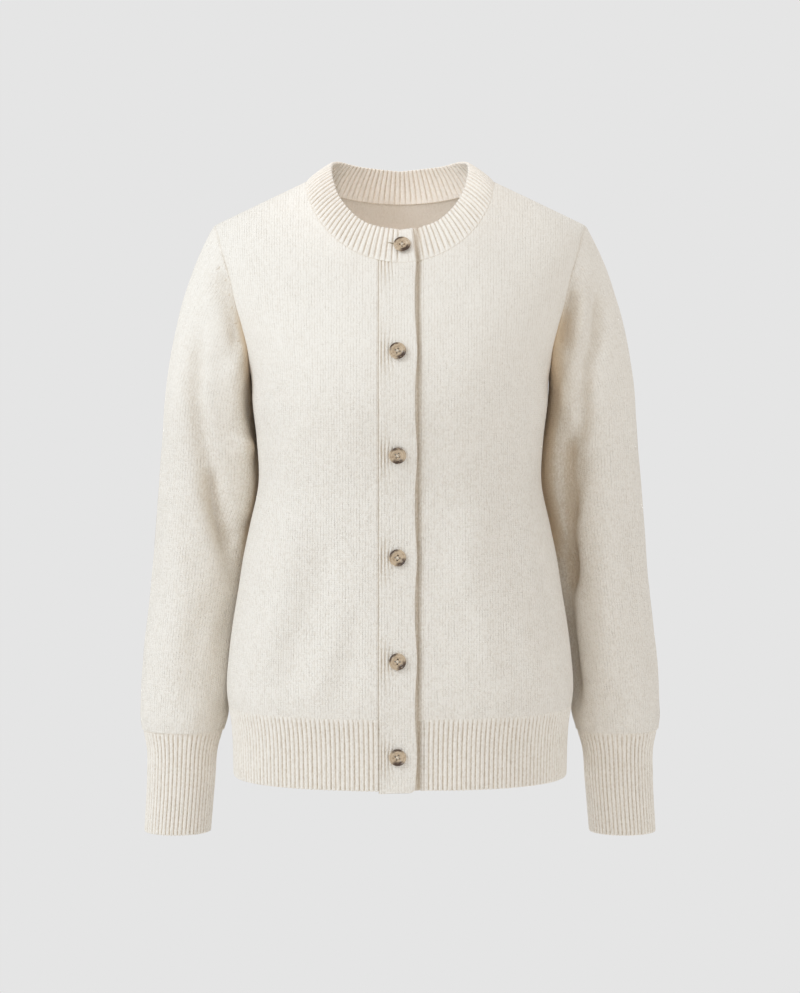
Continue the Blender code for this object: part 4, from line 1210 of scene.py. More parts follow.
def felted_wool(name, ribbed):
    """Woollen yarn, knitted and then milled until its fibres felt: the stitches show only as faint columns
    under a short matt nap, which catches the light at grazing angles. Their width and height are those of the
    settings, a little coarser than life so that they show at all."""
    if name in bpy.data.materials:
        return bpy.data.materials[name]
    knit, colours = bpy.context.scene.cardigan_knit, bpy.context.scene.cardigan_colours
    material, tree, shader = blank_material(name)
    node = partial(add, tree)
    place = node("TexCoord", output="Object")
    flat = node("UVMap", uv_map="knit")
    known = {"wale_width": knit.wale / MM, "course_height": knit.course / MM}
    known["deep"] = node("Attribute", output="Fac", attribute_name="deep")
    stretched = node("VectorMath", (flat, (0.30, 0.055, 0.0)), operation="MULTIPLY")
    for result, vector, scale, detail in (
        ("tuft", place, 1 / knit.felt_grain, 2.0),
        ("cloud", place, 42.0, 2.0),
        ("broad", place, 9.0, 1.0),
        ("streaks", stretched, 1.0, 1.0),
    ):
        inputs = {"Vector": vector, "Scale": scale, "Detail": detail, "Roughness": NOISE_ROUGHNESS}
        known[result] = node("TexNoise", inputs, "Fac")
    for result, vector, axis in (
        ("across", flat, "X"),
        ("up", flat, "Y"),
        ("x", place, "X"),
        ("y", place, "Y"),
        ("z", place, "Z"),
    ):
        known[result] = node("SeparateXYZ", (vector,), axis)
    work_out(tree, known, STITCHES)
    relief = (
        ("faint", "MapRange", "high", 0.0, 1.0, 0.6, 0.36),
        ("shown", "MULTIPLY", "faint", 0.6 if ribbed else "worn"),
        ("relief", "MULTIPLY", "stitch", "shown"),
        ("two_legs", "MULTIPLY", "wale", 2.0),
        ("which_leg", "FLOOR", "two_legs"),
        ("which_row", "FLOOR", "slanted"),
        ("leg", "CombineXYZ", "which_leg", "which_row"),
    )
    work_out(tree, known, relief)
    known["each_leg"] = node("TexWhiteNoise", {"Vector": known["leg"]}, "Value", noise_dimensions="2D")
    work_out(tree, known, WOOL_SHADES)
    stitches = {"Strength": 1.0, "Distance": knit.stitch_relief, "Height": known["relief"]}
    tufts = {"Strength": 0.7, "Distance": knit.felt_grain * 0.6, "Height": known["tuft"]}
    nap = node("Bump", {**tufts, "Normal": node("Bump", stitches)})
    # painted shade: the base colour goes from the open wool to the deep wool, and where deep passes 1 on to
    # the shaded wool
    inputs = {0: known["total"], 6: (*colours.wool, 1.0), 7: (*colours.wool_deep, 1.0)}
    open_wool = node("Mix", inputs, 2, data_type="RGBA", clamp_factor=True)
    inputs = {0: known["shaded"], 6: open_wool, 7: (*colours.wool_shade, 1.0)}
    looks = {
        "Base Color": node("Mix", inputs, 2, data_type="RGBA"),
        "Normal": nap,
        "Roughness": 0.95,
        "Specular IOR Level": 0.15,
        "Sheen Weight": knit.nap,
        "Sheen Roughness": 0.45,
        "Sheen Tint": linear("#fbf6ee"),
    }
    feed(tree, shader, looks)
    return material


def jersey():
    return felted_wool("felted wool jersey", False)


def rib_knit():
    return felted_wool("felted wool rib", True)


def sewing_thread():
    """Spun cotton, twisted in two plies: matt, with a fine slanting grain."""
    name = "twisted cotton thread"
    if name in bpy.data.materials:
        return bpy.data.materials[name]
    colours = bpy.context.scene.cardigan_colours
    material, tree, shader = blank_material(name)
    place = add(tree, "TexCoord", output="Object")
    inputs = {"Vector": place, "Scale": 2600.0, "Detail": 2.0, "Roughness": NOISE_ROUGHNESS}
    twist = add(tree, "TexNoise", inputs, "Fac")
    inputs = {0: twist, 6: (*colours.thread, 1.0), 7: (*colours.wool_deep, 1.0)}
    mixed = add(tree, "Mix", inputs, 2, data_type="RGBA")
    bump = add(tree, "Bump", {"Strength": 0.4, "Distance": 0.0001, "Height": twist})
    feed(tree, shader, {"Base Color": mixed, "Normal": bump, "Roughness": 0.85})
    return material


def slit_shade_material():
    """Painted shade in a buttonhole's slit: a dark colour with a fine fibrous grain, on the tube between its
    lips.
    """
    name = "cut wool inside a slit"
    if name in bpy.data.materials:
        return bpy.data.materials[name]
    material, tree, shader = blank_material(name)
    place = add(tree, "TexCoord", output="Object")
    fibres = add(tree, "TexNoise", {"Vector": place, "Scale": 1500.0, "Detail": 2.0}, "Fac")
    # painted shade: two dark browns, mixed by the fibres' noise
    inputs = {0: fibres, 6: linear("#6f6350"), 7: linear("#a89a84")}
    mixed = add(tree, "Mix", inputs, 2, data_type="RGBA")
    feed(tree, shader, {"Base Color": mixed, "Roughness": 1.0})
    return material


HORN_SWING = (
    # the painted shade is turned towards the lower right, a little differently on each button
    ("turning", "MULTIPLY", "which", 2.4),
    ("turned", "SINE", "turning"),
    ("swing", "MULTIPLY_ADD", "turned", 0.25, -0.8),
    ("seed", "MULTIPLY", "which", 7.3),
)
HORN_SHADED_SIDES = (
    # painted shade: dark clouds across the button at its lower right and, at the rim alone, at its upper
    # left, where the upper-left key light leaves it in shade
    ("across", "DIVIDE", "y", "radius"),
    ("inward", "ADD", "radius", -1.5),
    ("uneven_radius", "MULTIPLY_ADD", "streak", 3.0, "inward"),
    ("below", "MULTIPLY", "across", -1.0),
)
HORN_STEPS = (
    # result, of what, from, to
    ("lower_side", "below", 0.45, 0.95),
    ("lower_rim", "uneven_radius", 3.0, 5.6),
    ("upper_side", "across", 0.5, 0.95),
    ("upper_rim", "uneven_radius", 5.0, 7.4),
    ("clouded", "streak", 0.22, 0.46),
    ("streaked", "streak", 0.45, 0.8),
)
HORN_SHADE = (
    ("lower", "MULTIPLY", "lower_side", "lower_rim"),
    ("upper", "MULTIPLY", "upper_side", "upper_rim"),
    ("either", "MAXIMUM", "lower", "upper"),
    ("shade", "MULTIPLY", "either", "clouded"),
)


def polished_horn():
    """Cow horn, turned on a lathe and polished: pale streaky ground, with painted shade as dark clouds at its
    lower right and upper-left rim, and a soft gloss from wear."""
    name = "polished horn"
    if name in bpy.data.materials:
        return bpy.data.materials[name]
    colours = bpy.context.scene.cardigan_colours
    material, tree, shader = blank_material(name)
    node = partial(add, tree)
    flat = node("UVMap", uv_map="disc")
    known = {"which": node("Attribute", output="Fac", attribute_name="which")}
    work_out(tree, known, HORN_SWING)
    turned = node("VectorRotate", {"Vector": flat, "Angle": known["swing"]}, rotation_type="Z_AXIS")
    stretched = node("VectorMath", (turned, (0.16, 0.30, 1.0)), operation="MULTIPLY")
    seeded = node("VectorMath", (stretched, node("CombineXYZ", {"Z": known["seed"]})), operation="ADD")
    inputs = {"Vector": seeded, "Scale": 2.0, "Detail": 3.0, "Roughness": NOISE_ROUGHNESS}
    known["streak"] = node("TexNoise", inputs, "Fac")
    known["radius"] = node("VectorMath", (turned,), "Value", operation="LENGTH")
    known["y"] = node("SeparateXYZ", (turned,), "Y")
    work_out(tree, known, HORN_SHADED_SIDES)
    for result, value, low, high in HORN_STEPS:
        known[result] = node("MapRange", (known[value], low, high), interpolation_type="SMOOTHSTEP")
    work_out(tree, known, HORN_SHADE)
    inputs = {0: known["streaked"], 6: (*colours.horn, 1.0), 7: linear("#a48a6e")}
    ground = node("Mix", inputs, 2, data_type="RGBA")
    # painted shade: the ground darkens to the painted horn shade where the shade mask lies
    inputs = {0: known["shade"], 6: ground, 7: (*colours.painted_horn_shade, 1.0)}
    mixed = node("Mix", inputs, 2, data_type="RGBA")
    feed(tree, shader, {"Base Color": mixed, "Roughness": 0.32, "IOR": 1.54})
    return material


# ------------------------------------------------------------------ operators


# The camera's focal length and sensor in millimetres, its place in metres, and degrees that it looks down by
LENS = 112.0
SENSOR = 36.0
CAMERA_PLACE = (0.0, -3.0, -0.109)
CAMERA_DIP = 3.75


def place_light(name, kind, shine, places, **settings):
    """Adds a light. Its shine is its power and colour, and its places are its own and the one it faces."""
    lamp = bpy.data.lights.new(name, kind)
    lamp.energy, lamp.color = shine
    for setting, value in settings.items():
        setattr(lamp, setting, value)
    item = bpy.data.objects.new(name, lamp)
    bpy.context.scene.collection.objects.link(item)
    item.location = places[0]
    item.rotation_euler = (Vector(places[1]) - item.location).to_track_quat("-Z", "Y").to_euler()
    return item


class CARDIGAN_OT_stage(bpy.types.Operator):
    """Set out the pale room, its floor, the lights and the camera"""

    bl_idname = "cardigan.stage"
    bl_label = "Stage"

    def execute(self, context):
        scene, settings = context.scene, context.scene.cardigan_stage
        scene.view_settings.view_transform = "Standard"
        world = scene.world or bpy.data.worlds.new("pale room")
        scene.world = world
        world.use_nodes = True
        pale = (*settings.backdrop, 1.0)
        feed(world.node_tree, world.node_tree.nodes["Background"], {"Color": pale, "Strength": 1.0})

        bpy.ops.object.select_all(action="DESELECT")
        bpy.ops.mesh.primitive_circle_add(vertices=96, radius=2.6, fill_type="NGON", location=(0, 0, -1.45))
        floor = context.object
        floor.name = "floor"
        bpy.ops.object.transform_apply(location=True)
        paper, tree, shader = blank_material("matt paper sweep")
        looks = {"Base Color": pale, "Roughness": 0.9, "Emission Color": pale, "Emission Strength": 0.25}
        feed(tree, shader, looks)
        floor.data.materials.append(paper)

        place_light(
            "key light",
            "AREA",
            (settings.key_power, settings.key_colour),
            ((-2.3, -1.5, 1.7), (0, 0, -0.25)),
            shape="SQUARE",
            size=settings.key_size,
        )
        place_light(
            "neck light",
            "SPOT",
            (settings.neck_power, linear("#ffefed", alpha=False)),
            ((-0.2, -1.2, 1.0), (0, 0.1, -0.02)),
            spot_size=math.radians(6.2),
            spot_blend=0.5,
            shadow_soft_size=0.12,
        )
        inner = place_light(
            "inner light",
            "SPOT",
            (settings.inner_power, linear("#ffefdf", alpha=False)),
            ((0, -0.06, -0.13), (0, 0.09, -0.04)),
            spot_size=math.radians(100),
            spot_blend=1.0,
            shadow_soft_size=0.02,
        )
        inner.visible_camera = False

        lens = bpy.data.cameras.new("camera")
        lens.lens = LENS
        lens.sensor_width = SENSOR
        camera = bpy.data.objects.new("camera", lens)
        scene.collection.objects.link(camera)
        camera.location = CAMERA_PLACE
        camera.rotation_euler = (math.radians(90 - CAMERA_DIP), 0, 0)
        scene.camera = camera
        return {"FINISHED"}


class CARDIGAN_OT_body(bpy.types.Operator):
    """Knit the back and the two fronts"""

    bl_idname = "cardigan.body"
    bl_label = "Back and fronts"

    def execute(self, context):
        made = forms()
        back, out = made["back"], made["back_out"]
        dip = seam_dip(back, ("last_row", "first_column", "last_column"))
        outer = back - dip[..., None] * out
        # painted shade in the seams, as deep as the cloth rolls in
        deep = dip / SEAM_DIP * SEAM_SHADE
        piece = shell("back_panel", outer, back - JERSEY * out, panel_map(back, 1), deep)
        dress(piece, jersey(), "jersey", "back")
        for side, name in SIDES:
            grid, out = made["fronts"][side], made["front_out"][side]
            band_side = seam_dip(grid, ("first_column",), reach=BAND_SEAM_REACH)
            band_side[: CORNER_ROW + 1] *= BAND_SEAM[side]
            band_side[CORNER_ROW + 1 :] *= NECKLINE_SEAM
            dip = np.maximum(seam_dip(grid, ("last_row", "last_column")), band_side)
            outer = grid - dip[..., None] * out
            # painted shade in the seams, as deep as the cloth rolls in
            deep = dip / SEAM_DIP * SEAM_SHADE
            piece = shell(f"{name}_front_panel", outer, grid - JERSEY * out, panel_map(grid, -1), deep)
            dress(piece, jersey(), "jersey", f"front_{name}")
        return {"FINISHED"}


class CARDIGAN_OT_sleeves(bpy.types.Operator):
    """Knit the two sleeves"""

    bl_idname = "cardigan.sleeves"
    bl_label = "Sleeves"

    def execute(self, context):
        for side, name in SIDES:
            grid, out, folded = forms()["sleeves"][side]
            dip = seam_dip(grid, ("first_row", "join"), closed=True)
            outer, inner = mirrored(grid - dip[..., None] * out, side), mirrored(grid - JERSEY * out, side)
            # painted shade in the furrows, against the body and in the armhole seam, whichever is most
            shade = np.maximum(FOLD_SHADE[name] * folded, arm_shade(grid, name))
            deep = np.maximum(dip / SEAM_DIP * SEAM_SHADE, shade)
            piece = shell(f"{name}_sleeve", outer, inner, sleeve_map(grid), deep, closed=True)
            dress(piece, jersey(), "jersey", f"sleeve_{name}")
        return {"FINISHED"}


class CARDIGAN_OT_cuffs(bpy.types.Operator):
    """Knit the ribbed cuffs"""

    bl_idname = "cardigan.cuffs"
    bl_label = "Cuffs"

    def execute(self, context):
        places, height = rib_places(CUFF_RIBS, closed=True)
        angles = math.pi + TURN * places
        z = rib_rows(CUFF_SEAM, CUFF_EDGE)
        surface = section(CUFF, z, angles)
        out = normals(surface, closed=True)
        out[0] = flatten(out[0], 2)
        turns = np.append(angles, angles[0] + TURN)
        whole_map = np.stack(np.broadcast_arrays(CUFF_RADIUS * turns[None, :], z[:, None]), axis=-1)
        for side, name in SIDES:
            each = rib_sizes(CUFF_RIBS, CUFF_SEED + side, RIB_UNEVEN, closed=True)
            outer, inner, deep = ribbed(surface, out, height, each, CUFF_SEAM - z)
            outer, inner, uv, deep = round_off([outer, inner, whole_map[:, :-1], deep], "last_row")
            last = np.concatenate([whole_map[:, -1:], np.repeat(whole_map[-1:, -1:], EDGE_STEPS, axis=0)])
            uv = np.concatenate([uv, last], axis=1)
            outer, inner = mirrored(outer, side), mirrored(inner, side)
            piece = shell(f"{name}_cuff_rib", outer, inner, uv, deep, closed=True)
            dress(piece, rib_knit(), "rib", f"cuff_{name}")
        return {"FINISHED"}


class CARDIGAN_OT_hem(bpy.types.Operator):
    """Knit the three strips of the ribbed hem"""

    bl_idname = "cardigan.hem"
    bl_label = "Hem ribs"

    def strip(self, name, ribs, first, last, facing, side):
        places, height = rib_places(ribs)
        turns = (side or 1) * even_turns(HEM_EDGE, first, last, places, facing)
        z = rib_rows(HEM_SEAM, HEM_EDGE)
        level = z[:, None] + 0 * turns
        x = np.sign(turns) * x_at(np.abs(turns), level)
        if side:
            x[:, 0] = BAND_SEAMS[side]
        surface = torso(x, level, facing, side)
        out = normals(surface)
        out[0] = flatten(out[0], 2)
        out[:, -1] = flatten(out[:, -1], 1)
        out[:, 0] = flatten(out[:, 0], 0 if side else 1)
        each = rib_sizes(ribs, HEM_SEED + side, RIB_UNEVEN)
        outer, inner, deep = ribbed(surface, out, height, each, HEM_SEAM - z)
        layers = round_off([outer, inner, knit_map(surface), deep], "last_row")
        return dress(shell(name, *layers), rib_knit(), "rib")

    def execute(self, context):
        quarter = math.pi / 2
        piece = self.strip("back_hem_rib", HEM_RIBS_BACK, -quarter, quarter, 1, 0)
        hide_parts("hem_rib_back")
        for side, name in SIDES:
            first = float(turn_at(abs(BAND_SEAMS[side]), HEM_EDGE))
            piece = self.strip(f"{name}_hem_rib", HEM_RIBS_FRONT, first, quarter, -1, side)
            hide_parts(f"hem_rib_{name}")
        return {"FINISHED"}


class CARDIGAN_OT_neckband(bpy.types.Operator):
    """Knit the ribbed neckband"""

    bl_idname = "cardigan.neckband"
    bl_label = "Neckband"

    def execute(self, context):
        places, height = rib_places(NECK_RIBS)
        up = along_cloth(NECKBAND_HEIGHT, NECK_STEP)
        surface, out = neckband_surface(places, up)
        # the ribs die away towards the buttoned end
        grow = PLAIN_RIB + (1 - PLAIN_RIB) * ease((places * NECKBAND_LENGTH - PLAIN_END) / PLAIN_END)
        each = rib_sizes(NECK_RIBS, NECK_SEED, NECK_RIB_UNEVEN)
        fade = NECK_RIB_START + (1 - NECK_RIB_START) * ease(up * NECKBAND_HEIGHT / RIB_FADE)
        scale = rib_relief() * each * grow * fade[:, None]
        # the inner face has its crests behind the outer one's valleys
        opposite = np.tile(rib_height(np.array(RIB_PHASES) + 0.5), NECK_RIBS)
        opposite = np.append(opposite, rib_height(np.array([0.5])))
        under = under_lap(surface[..., 0]) * (places > LAPPED_FROM)
        outer = surface + (scale * (height - RIB_MEAN) - UNDER_DIP * under)[..., None] * out
        inner = surface - (RIB_WALL + scale * (opposite - RIB_MEAN) + UNDER_DIP * under)[..., None] * out
        # painted shade between the ribs and beside the other end that laps over this one; on the inner face
        # between its own ribs
        deep = np.minimum((1 - height) * grow * fade[:, None] + UNDER_SHADE * under, 1.0)
        inside = (1 - opposite) * grow * fade[:, None]
        uv = np.stack(np.broadcast_arrays(NECKBAND_LENGTH * places, NECKBAND_HEIGHT * up[:, None]), axis=-1)
        layers = round_off([outer, inner, uv, deep, inside], "first_column", "last_column", "last_row")
        piece = dress(shell("neckband_rib", *layers), rib_knit(), "rib", "neckband")
        return {"FINISHED"}


class CARDIGAN_OT_bands(bpy.types.Operator):
    """Knit the buttonhole band and the button band"""

    bl_idname = "cardigan.bands"
    bl_label = "Button bands"

    def execute(self, context):
        for side, name in ((-1, "buttonhole_band"), (1, "button_band")):
            surface = forms()["bands"][side]
            out = normals(surface)
            for column in (0, -1):
                out[:, column] = flatten(out[:, column], 0)
            dip = BAND_SEAM[side] * seam_dip(surface, ("first_column",), reach=BAND_SEAM_REACH)
            dip = np.maximum(dip, NECKLINE_SEAM * seam_dip(surface, ("last_row",)))
            x, z = surface[..., 0], surface[..., 2]
            # painted shade in the seams
            deep = dip / SEAM_DIP * SEAM_SHADE
            if side < 0:
                grooves = groove_depth(x, z)
                outer = surface - (dip + grooves)[..., None] * out
                # painted shade in the furrows beside the buttonholes
                deep = deep + GROOVE_SHADE * grooves
                inner = surface - BAND_WALL * out
            else:
                sunk = UNDER_DIP * under_lap(x)
                place, width, furrow = UNDER_RIB
                furrow = furrow * np.exp(-(((x - place) / width) ** 2)) * ease((HEM_SEAM - z) / RIB_FADE)
                outer = surface - (dip + sunk + furrow)[..., None] * out
                inner = surface - (BAND_WALL + sunk)[..., None] * out
                # painted shade beside the edge that laps over, and in the hem's furrow
                deep = deep + UNDER_SHADE * under_lap(x) + furrow
            layers = [outer, inner, knit_map(surface), np.minimum(deep, BAND_SHADE)]
            layers = round_off(layers, "last_column", "first_row")
            piece = dress(shell(f"{name}_knit", *layers), jersey(), "jersey", name)
        return {"FINISHED"}


def seat(x, z, stand):
    """Where a thing lies, a little way off the buttonhole band or the neckband's end, and how it faces."""
    here, above, below = (
        torso(np.array(x), np.array(z + step), -1, -1) for step in (0.0, BUTTON_SLOPE, -BUTTON_SLOPE)
    )
    if z > -FRONT_NECK_DROP:
        low = torso(np.array(x), np.array(-FRONT_NECK_DROP), -1, -1)
        high = rim_point(np.array(math.asin(x / RIM_HALF)), LAP)
        share = (z - low[2]) / (high[2] - low[2])
        here, above, below = low + (high - low) * share, high, low
    out = unit(np.cross((1.0, 0.0, 0.0), unit(above - below)))
    if here[2] > -FRONT_NECK_DROP:
        here = here + (NECKBAND_CROWN + NECK_STAND) * out
    turned = Vector(out).to_track_quat("Z", "Y").to_matrix().to_4x4()
    return Matrix.Translation(Vector((here + stand * out) * MM)) @ turned


class CARDIGAN_OT_buttons(bpy.types.Operator):
    """Turn the horn buttons and sew them on"""

    bl_idname = "cardigan.buttons"
    bl_label = "Buttons"

    def execute(self, context):
        pattern = horn_disc()
        threads = button_thread()
        for number, (x, z) in enumerate(BUTTONS, 1):
            for source, name, material, slot in (
                (pattern, f"horn_button_{number}", polished_horn(), "horn"),
                (threads, f"button_thread_{number}", sewing_thread(), "jersey"),
            ):
                mesh = source.copy()
                turned = BUTTON_SPIN + BUTTON_STRAY * math.sin(BUTTON_WANDER * number)
                spin = Matrix.Rotation(math.radians(turned), 4, "Z")
                mesh.transform(seat(x, z, BUTTON_STAND) @ spin)
                which = mesh.attributes.new("which", "FLOAT", "POINT")
                which.data.foreach_set("value", [float(number)] * len(mesh.vertices))
                piece = new_piece(name, mesh)
                dress(piece, material, slot, *([f"button_{number}"] if source is pattern else []))
        return {"FINISHED"}


def pick_faces(mesh, test):
    """Selects the faces of the mesh in edit mode whose middle and normal pass a test."""
    body = bmesh.from_edit_mesh(mesh)
    for face in body.faces:
        face.select_set(test(face.calc_center_median(), face.normal))
    body.select_flush_mode()
    bmesh.update_edit_mesh(mesh)


# The button's turned profile: how far each ring is set in from the last one, and how far it is lifted
BUTTON_FACE = (
    (0.12, 0.30),
    (0.22, 0.26),
    (0.30, 0.18),
    (0.34, 0.02),
    (0.30, -0.16),
    (0.24, -0.34),
    (0.20, -0.04),
    (0.22, 0.24),
    (0.26, 0.12),
    (0.40, -0.04),
    (0.46, -0.14),
    (0.44, -0.22),
    (0.36, -0.30),
    (0.22, -0.34),
    (0.24, -0.10),
)
BUTTON_BACK = ((0.25, -0.35), (0.5, -0.4), (0.9, -0.4), (1.5, -0.2))
BUTTON_HALF = 8.0
BUTTON_WAIST = (1.45, 1.95)  # heights between which the button's side is upright
BUTTON_SMOOTH = math.radians(62)  # its edges sharper than this stay sharp
HOLE_CIRCLE = 2.2
HOLE_RADIUS = 0.95
DRILL_LENGTH = 8.0
DRILL_HEIGHT = 1.5


def horn_disc():
    """One button at the origin, face up: a disc with a bead at its rim, a dished face and four holes."""
    low, high = BUTTON_WAIST
    bpy.ops.object.select_all(action="DESELECT")
    bpy.ops.mesh.primitive_cylinder_add(
        vertices=64,
        radius=BUTTON_HALF * MM,
        depth=(high - low) * MM,
        end_fill_type="NGON",
        location=(0, 0, (low + high) / 2 * MM),
    )
    disc = bpy.context.object
    bpy.ops.object.transform_apply(location=True)
    bpy.ops.object.mode_set(mode="EDIT")
    bpy.ops.mesh.select_mode(type="FACE")
    for up, rings in ((1, BUTTON_FACE), (-1, BUTTON_BACK)):
        pick_faces(disc.data, lambda centre, normal: normal.z * up > 0.9)
        for inset, lift in rings:
            bpy.ops.mesh.inset(thickness=inset * MM, use_even_offset=True)
            bpy.ops.transform.translate(value=(0, 0, lift * MM))
    bpy.ops.object.mode_set(mode="OBJECT")
    for quarter in range(4):
        turn = math.radians(90 * quarter)
        place = (HOLE_CIRCLE * MM * math.cos(turn), HOLE_CIRCLE * MM * math.sin(turn), DRILL_HEIGHT * MM)
        bpy.ops.object.select_all(action="DESELECT")
        bpy.ops.mesh.primitive_cylinder_add(
            vertices=20, radius=HOLE_RADIUS * MM, depth=DRILL_LENGTH * MM, location=place
        )
        drill = bpy.context.object
        bpy.context.view_layer.objects.active = disc
        hole = disc.modifiers.new("hole", "BOOLEAN")
        hole.operation = "DIFFERENCE"
        hole.solver = "EXACT"
        hole.object = drill
        bpy.ops.object.modifier_apply(modifier=hole.name)
        bpy.data.objects.remove(drill)
    bpy.ops.object.select_all(action="DESELECT")
    disc.select_set(True)
    bpy.ops.object.shade_smooth_by_angle(angle=BUTTON_SMOOTH)
    mesh = disc.data.copy()
    disc_map(mesh)
    bpy.data.objects.remove(disc)
    return mesh


def disc_map(mesh):
    """A UV map that lies flat on the button, in millimetres from its middle."""
    for layer in list(mesh.uv_layers):
        mesh.uv_layers.remove(layer)
    layer = mesh.uv_layers.new(name="disc")
    for loop in mesh.loops:
        x, y, _ = mesh.vertices[loop.vertex_index].co
        layer.data[loop.index].uv = (x / MM, y / MM)


def tube(path, radius, sides=8):
    """Points and faces of a closed tube along a path."""
    path = np.asarray(path, float)
    along = unit(np.gradient(path, axis=0))
    across = unit(np.cross(along, (0.31, 0.17, 0.93)))
    other = np.cross(along, across)
    turns = np.linspace(0, TURN, sides, endpoint=False)
    radius = np.broadcast_to(radius, len(path))[:, None, None]
    rings = path[:, None] + radius * (
        np.cos(turns)[None, :, None] * across[:, None] + np.sin(turns)[None, :, None] * other[:, None]
    )
    faces = []
    for r in range(len(path) - 1):
        for s in range(sides):
            t = (s + 1) % sides
            faces.append((r * sides + s, r * sides + t, (r + 1) * sides + t, (r + 1) * sides + s))
    faces.append(tuple(range(sides))[::-1])
    faces.append(tuple((len(path) - 1) * sides + s for s in range(sides)))
    return rings.reshape(-1, 3), faces


def joined(name, parts):
    """One mesh from lists of points and faces, in millimetres."""
    points, faces, count = [], [], 0
    for part_points, part_faces in parts:
        points.extend(tuple(p) for p in np.asarray(part_points) * MM)
        faces.extend(tuple(i + count for i in face) for face in part_faces)
        count += len(part_points)
    mesh = bpy.data.meshes.new(name)
    mesh.from_pydata(points, [], faces)
    body = bmesh.new()
    body.from_mesh(mesh)
    bmesh.ops.recalc_face_normals(body, faces=body.faces)
    body.to_mesh(mesh)
    body.free()
    mesh.shade_smooth()
    return mesh


THREAD_RADIUS = 0.25
THREAD_APART = 0.22  # how far each thread lies from the middle of its pair
THREAD_RISE = ((0.0, 0.18), (TURN / 4, 0.42))  # direction of each pair, and how high it rises over the face
THREAD_REACH = HOLE_CIRCLE - 0.7
THREAD_BEND = (0.72, 0.66)  # shares of a thread's half length: it goes out up to one, and down past the other
THREAD_DROP = 2.4


def button_thread():
    """The threads that cross between a button's four holes, and go down into them."""
    parts = []
    floor = BUTTON_WAIST[1] + sum(lift for _, lift in BUTTON_FACE)
    straight, falling = THREAD_BEND
    for turn, lift in THREAD_RISE:
        along = np.array((math.cos(turn), math.sin(turn), 0.0))
        across = np.array((-along[1], along[0], 0.0))
        for beside in (-THREAD_APART, THREAD_APART):
            path = []
            for t in np.linspace(-1, 1, 15):
                out = min(abs(t) / straight, 1.0) * THREAD_REACH
                down = THREAD_DROP * max(abs(t) - falling, 0.0) / (1 - falling)
                height = floor + lift * (1 - 0.5 * abs(t)) + THREAD_RADIUS - down
                path.append(along * math.copysign(out, t) + across * beside + (0, 0, height))
            parts.append(tube(path, THREAD_RADIUS))
    return joined("thread", parts)


def sew(name, parts, material):
    """A piece of stitches from lists of points and faces."""
    return dress(new_piece(name, joined(name, parts)), material, "jersey")


def stitch_chain(line, radius):
    """A row of short stitches along a line, each a tube that is thinner at its ends."""
    length = lengths_along(line)[-1]
    parts = []
    for number in range(int(length // LINK_PITCH)):
        places = (number + np.array([0.06, 0.3, 0.6, 0.94])) * LINK_PITCH / length
        parts.append(tube(spaced(line, line, places), radius * np.array([0.6, 1.0, 1.0, 0.6]), 6))
    return parts


def buttonhole(length, upright):
    """The two bound lips of a slit, at the origin, and a tube of painted shade in the gap that gapes between
    them.
    """
    parts = []
    t = np.linspace(-0.5, 0.5, int(length / SLIT_PITCH))
    gape = np.cos(math.pi * t)
    apart, lip, knot = LIP
    for side in (-1, 0, 1):
        if side:
            radius = lip + knot * np.cos(math.pi * np.arange(len(t)))
        else:
            radius = SLIT_SHADE_RADIUS[0] + SLIT_SHADE_RADIUS[1] * gape
        path = np.stack([length * t, side * (apart + SLIT_GAPE * gape), 0 * t], axis=1)
        path = path[:, [1, 0, 2]] if upright else path
        parts.append(tube(path, radius, 6))
    return parts


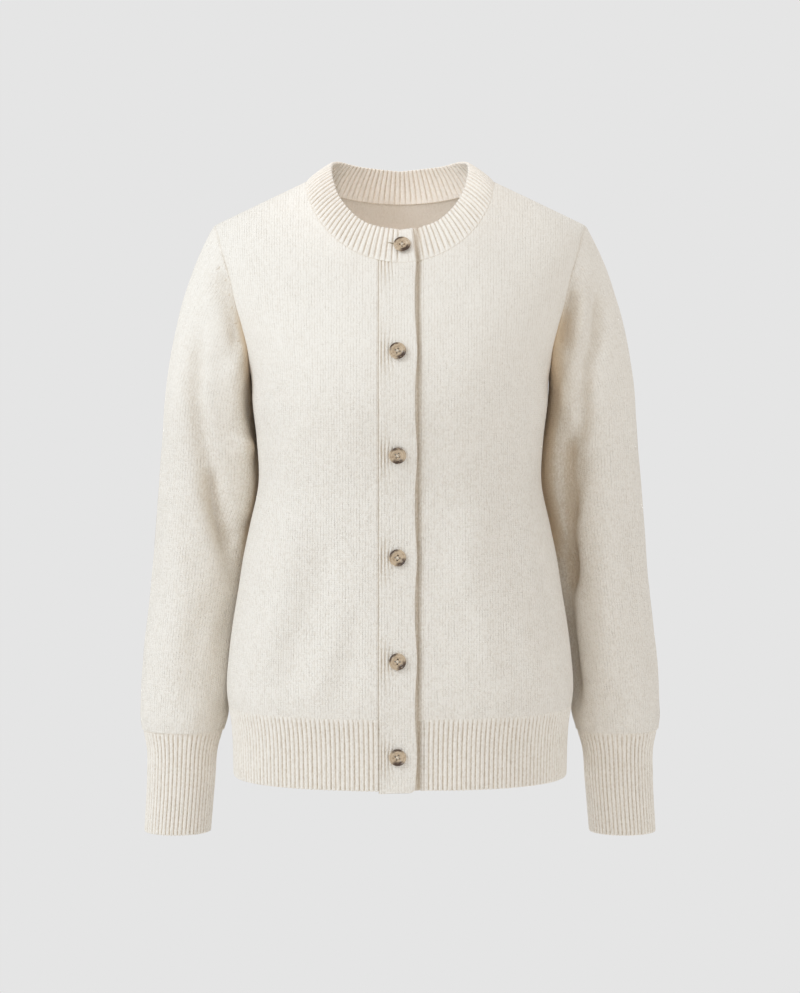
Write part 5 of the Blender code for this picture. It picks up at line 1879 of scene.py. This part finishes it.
class CARDIGAN_OT_stitching(bpy.types.Operator):
    """Link the neckband on, bind the buttonholes and mark the armholes where stitches were moved"""

    bl_idname = "cardigan.stitching"
    bl_label = "Stitching"

    def execute(self, context):
        self.link_neckband()
        for side, name in SIDES:
            self.mark_armhole(side, name)
        self.bind_buttonholes()
        return {"FINISHED"}

    def link_neckband(self):
        line, out, _, _ = neck_seam()
        beyond_flap = forms()["bands"][-1].shape[1]
        sunk, radius = LINK_OUTSIDE
        parts = stitch_chain((line - sunk * out)[beyond_flap:], radius)
        sunk, radius = LINK_INSIDE
        parts += stitch_chain(line - sunk * out, radius)
        sew("neckline_linking", parts, sewing_thread())

    def mark_armhole(self, side, name):
        grid, _, _ = forms()["sleeves"][side]
        down, shade = distances(grid, 0), arm_shade(grid, name)
        parts, deep = [], []
        t = np.linspace(-0.5, 0.5, 7)
        for place in MARKS:
            up = place * len(YOKE)
            for column, turned in ((int(up), 1), (int(len(SLEEVE_ANGLES) - up), -1)):
                row = int(np.argmin(np.abs(down[:, column] - MARK_DISTANCE)))
                step_down = unit(grid[row + 1, column] - grid[row - 1, column])
                step_round = unit(grid[row, column + 1] - grid[row, column - 1])
                lean = unit(step_down + MARK_LEAN * turned * step_round)
                path = grid[row, column] + MARK_LENGTH * t[:, None] * lean
                points, faces = tube(path, MARK_RADIUS * np.sqrt(1.05 - (2 * t) ** 2))
                parts.append((mirrored(points, side), faces))
                # each mark takes the sleeve's painted shade where it sits
                deep += [shade[row, column]] * len(points)
        marks = sew(f"{name}_fashioning_marks", parts, jersey()).data
        marks.attributes.new("deep", "FLOAT", "POINT").data.foreach_set("value", deep)

    def bind_buttonholes(self):
        lips, slit_shades = [], []
        for number, (x, z) in enumerate(BUTTONS):
            upright = number > 0
            length, shift = SLIT if upright else NECK_SLIT
            place = seat(x, z, SLIT_STAND) @ Matrix.Rotation(0.0 if upright else NECK_SLIT_LEAN, 4, "Z")
            for layer, (points, faces) in zip((lips, slit_shades, lips), buttonhole(length, upright)):
                moved = [place @ Vector((np.array(p) + (shift, 0.0, 0.0)) * MM) for p in points]
                layer.append((np.array(moved) / MM, faces))
        sew("bound_buttonholes", lips, sewing_thread())
        sew("buttonhole_painted_shade", slit_shades, slit_shade_material())


class CARDIGAN_PT_panel(bpy.types.Panel):
    """The cardigan's steps and settings"""

    bl_idname = "CARDIGAN_PT_panel"
    bl_label = "Button cardigan"
    bl_space_type = "VIEW_3D"
    bl_region_type = "UI"
    bl_category = "Cardigan"

    def draw(self, context):
        layout = self.layout
        for step in STEPS:
            layout.operator(step.bl_idname)
        for group in SETTINGS:
            settings, box = getattr(context.scene, group), layout.box()
            for name in settings.__annotations__:
                box.prop(settings, name)


SETTINGS = {
    "cardigan_knit": CardiganKnitSettings,
    "cardigan_colours": CardiganColourSettings,
    "cardigan_stage": CardiganStageSettings,
}
STEPS = (
    CARDIGAN_OT_stage,
    CARDIGAN_OT_body,
    CARDIGAN_OT_sleeves,
    CARDIGAN_OT_cuffs,
    CARDIGAN_OT_hem,
    CARDIGAN_OT_neckband,
    CARDIGAN_OT_bands,
    CARDIGAN_OT_buttons,
    CARDIGAN_OT_stitching,
)


def register():
    for name, group in SETTINGS.items():
        bpy.utils.register_class(group)
        setattr(bpy.types.Scene, name, PointerProperty(type=group))
    for item in (*STEPS, CARDIGAN_PT_panel):
        bpy.utils.register_class(item)


def unregister():
    for item in (CARDIGAN_PT_panel, *reversed(STEPS)):
        bpy.utils.unregister_class(item)
    for name, group in SETTINGS.items():
        delattr(bpy.types.Scene, name)
        bpy.utils.unregister_class(group)


def main():
    register()
    for step in STEPS:
        group, name = step.bl_idname.split(".")
        getattr(getattr(bpy.ops, group), name)()


if __name__ == "__main__":
    main()
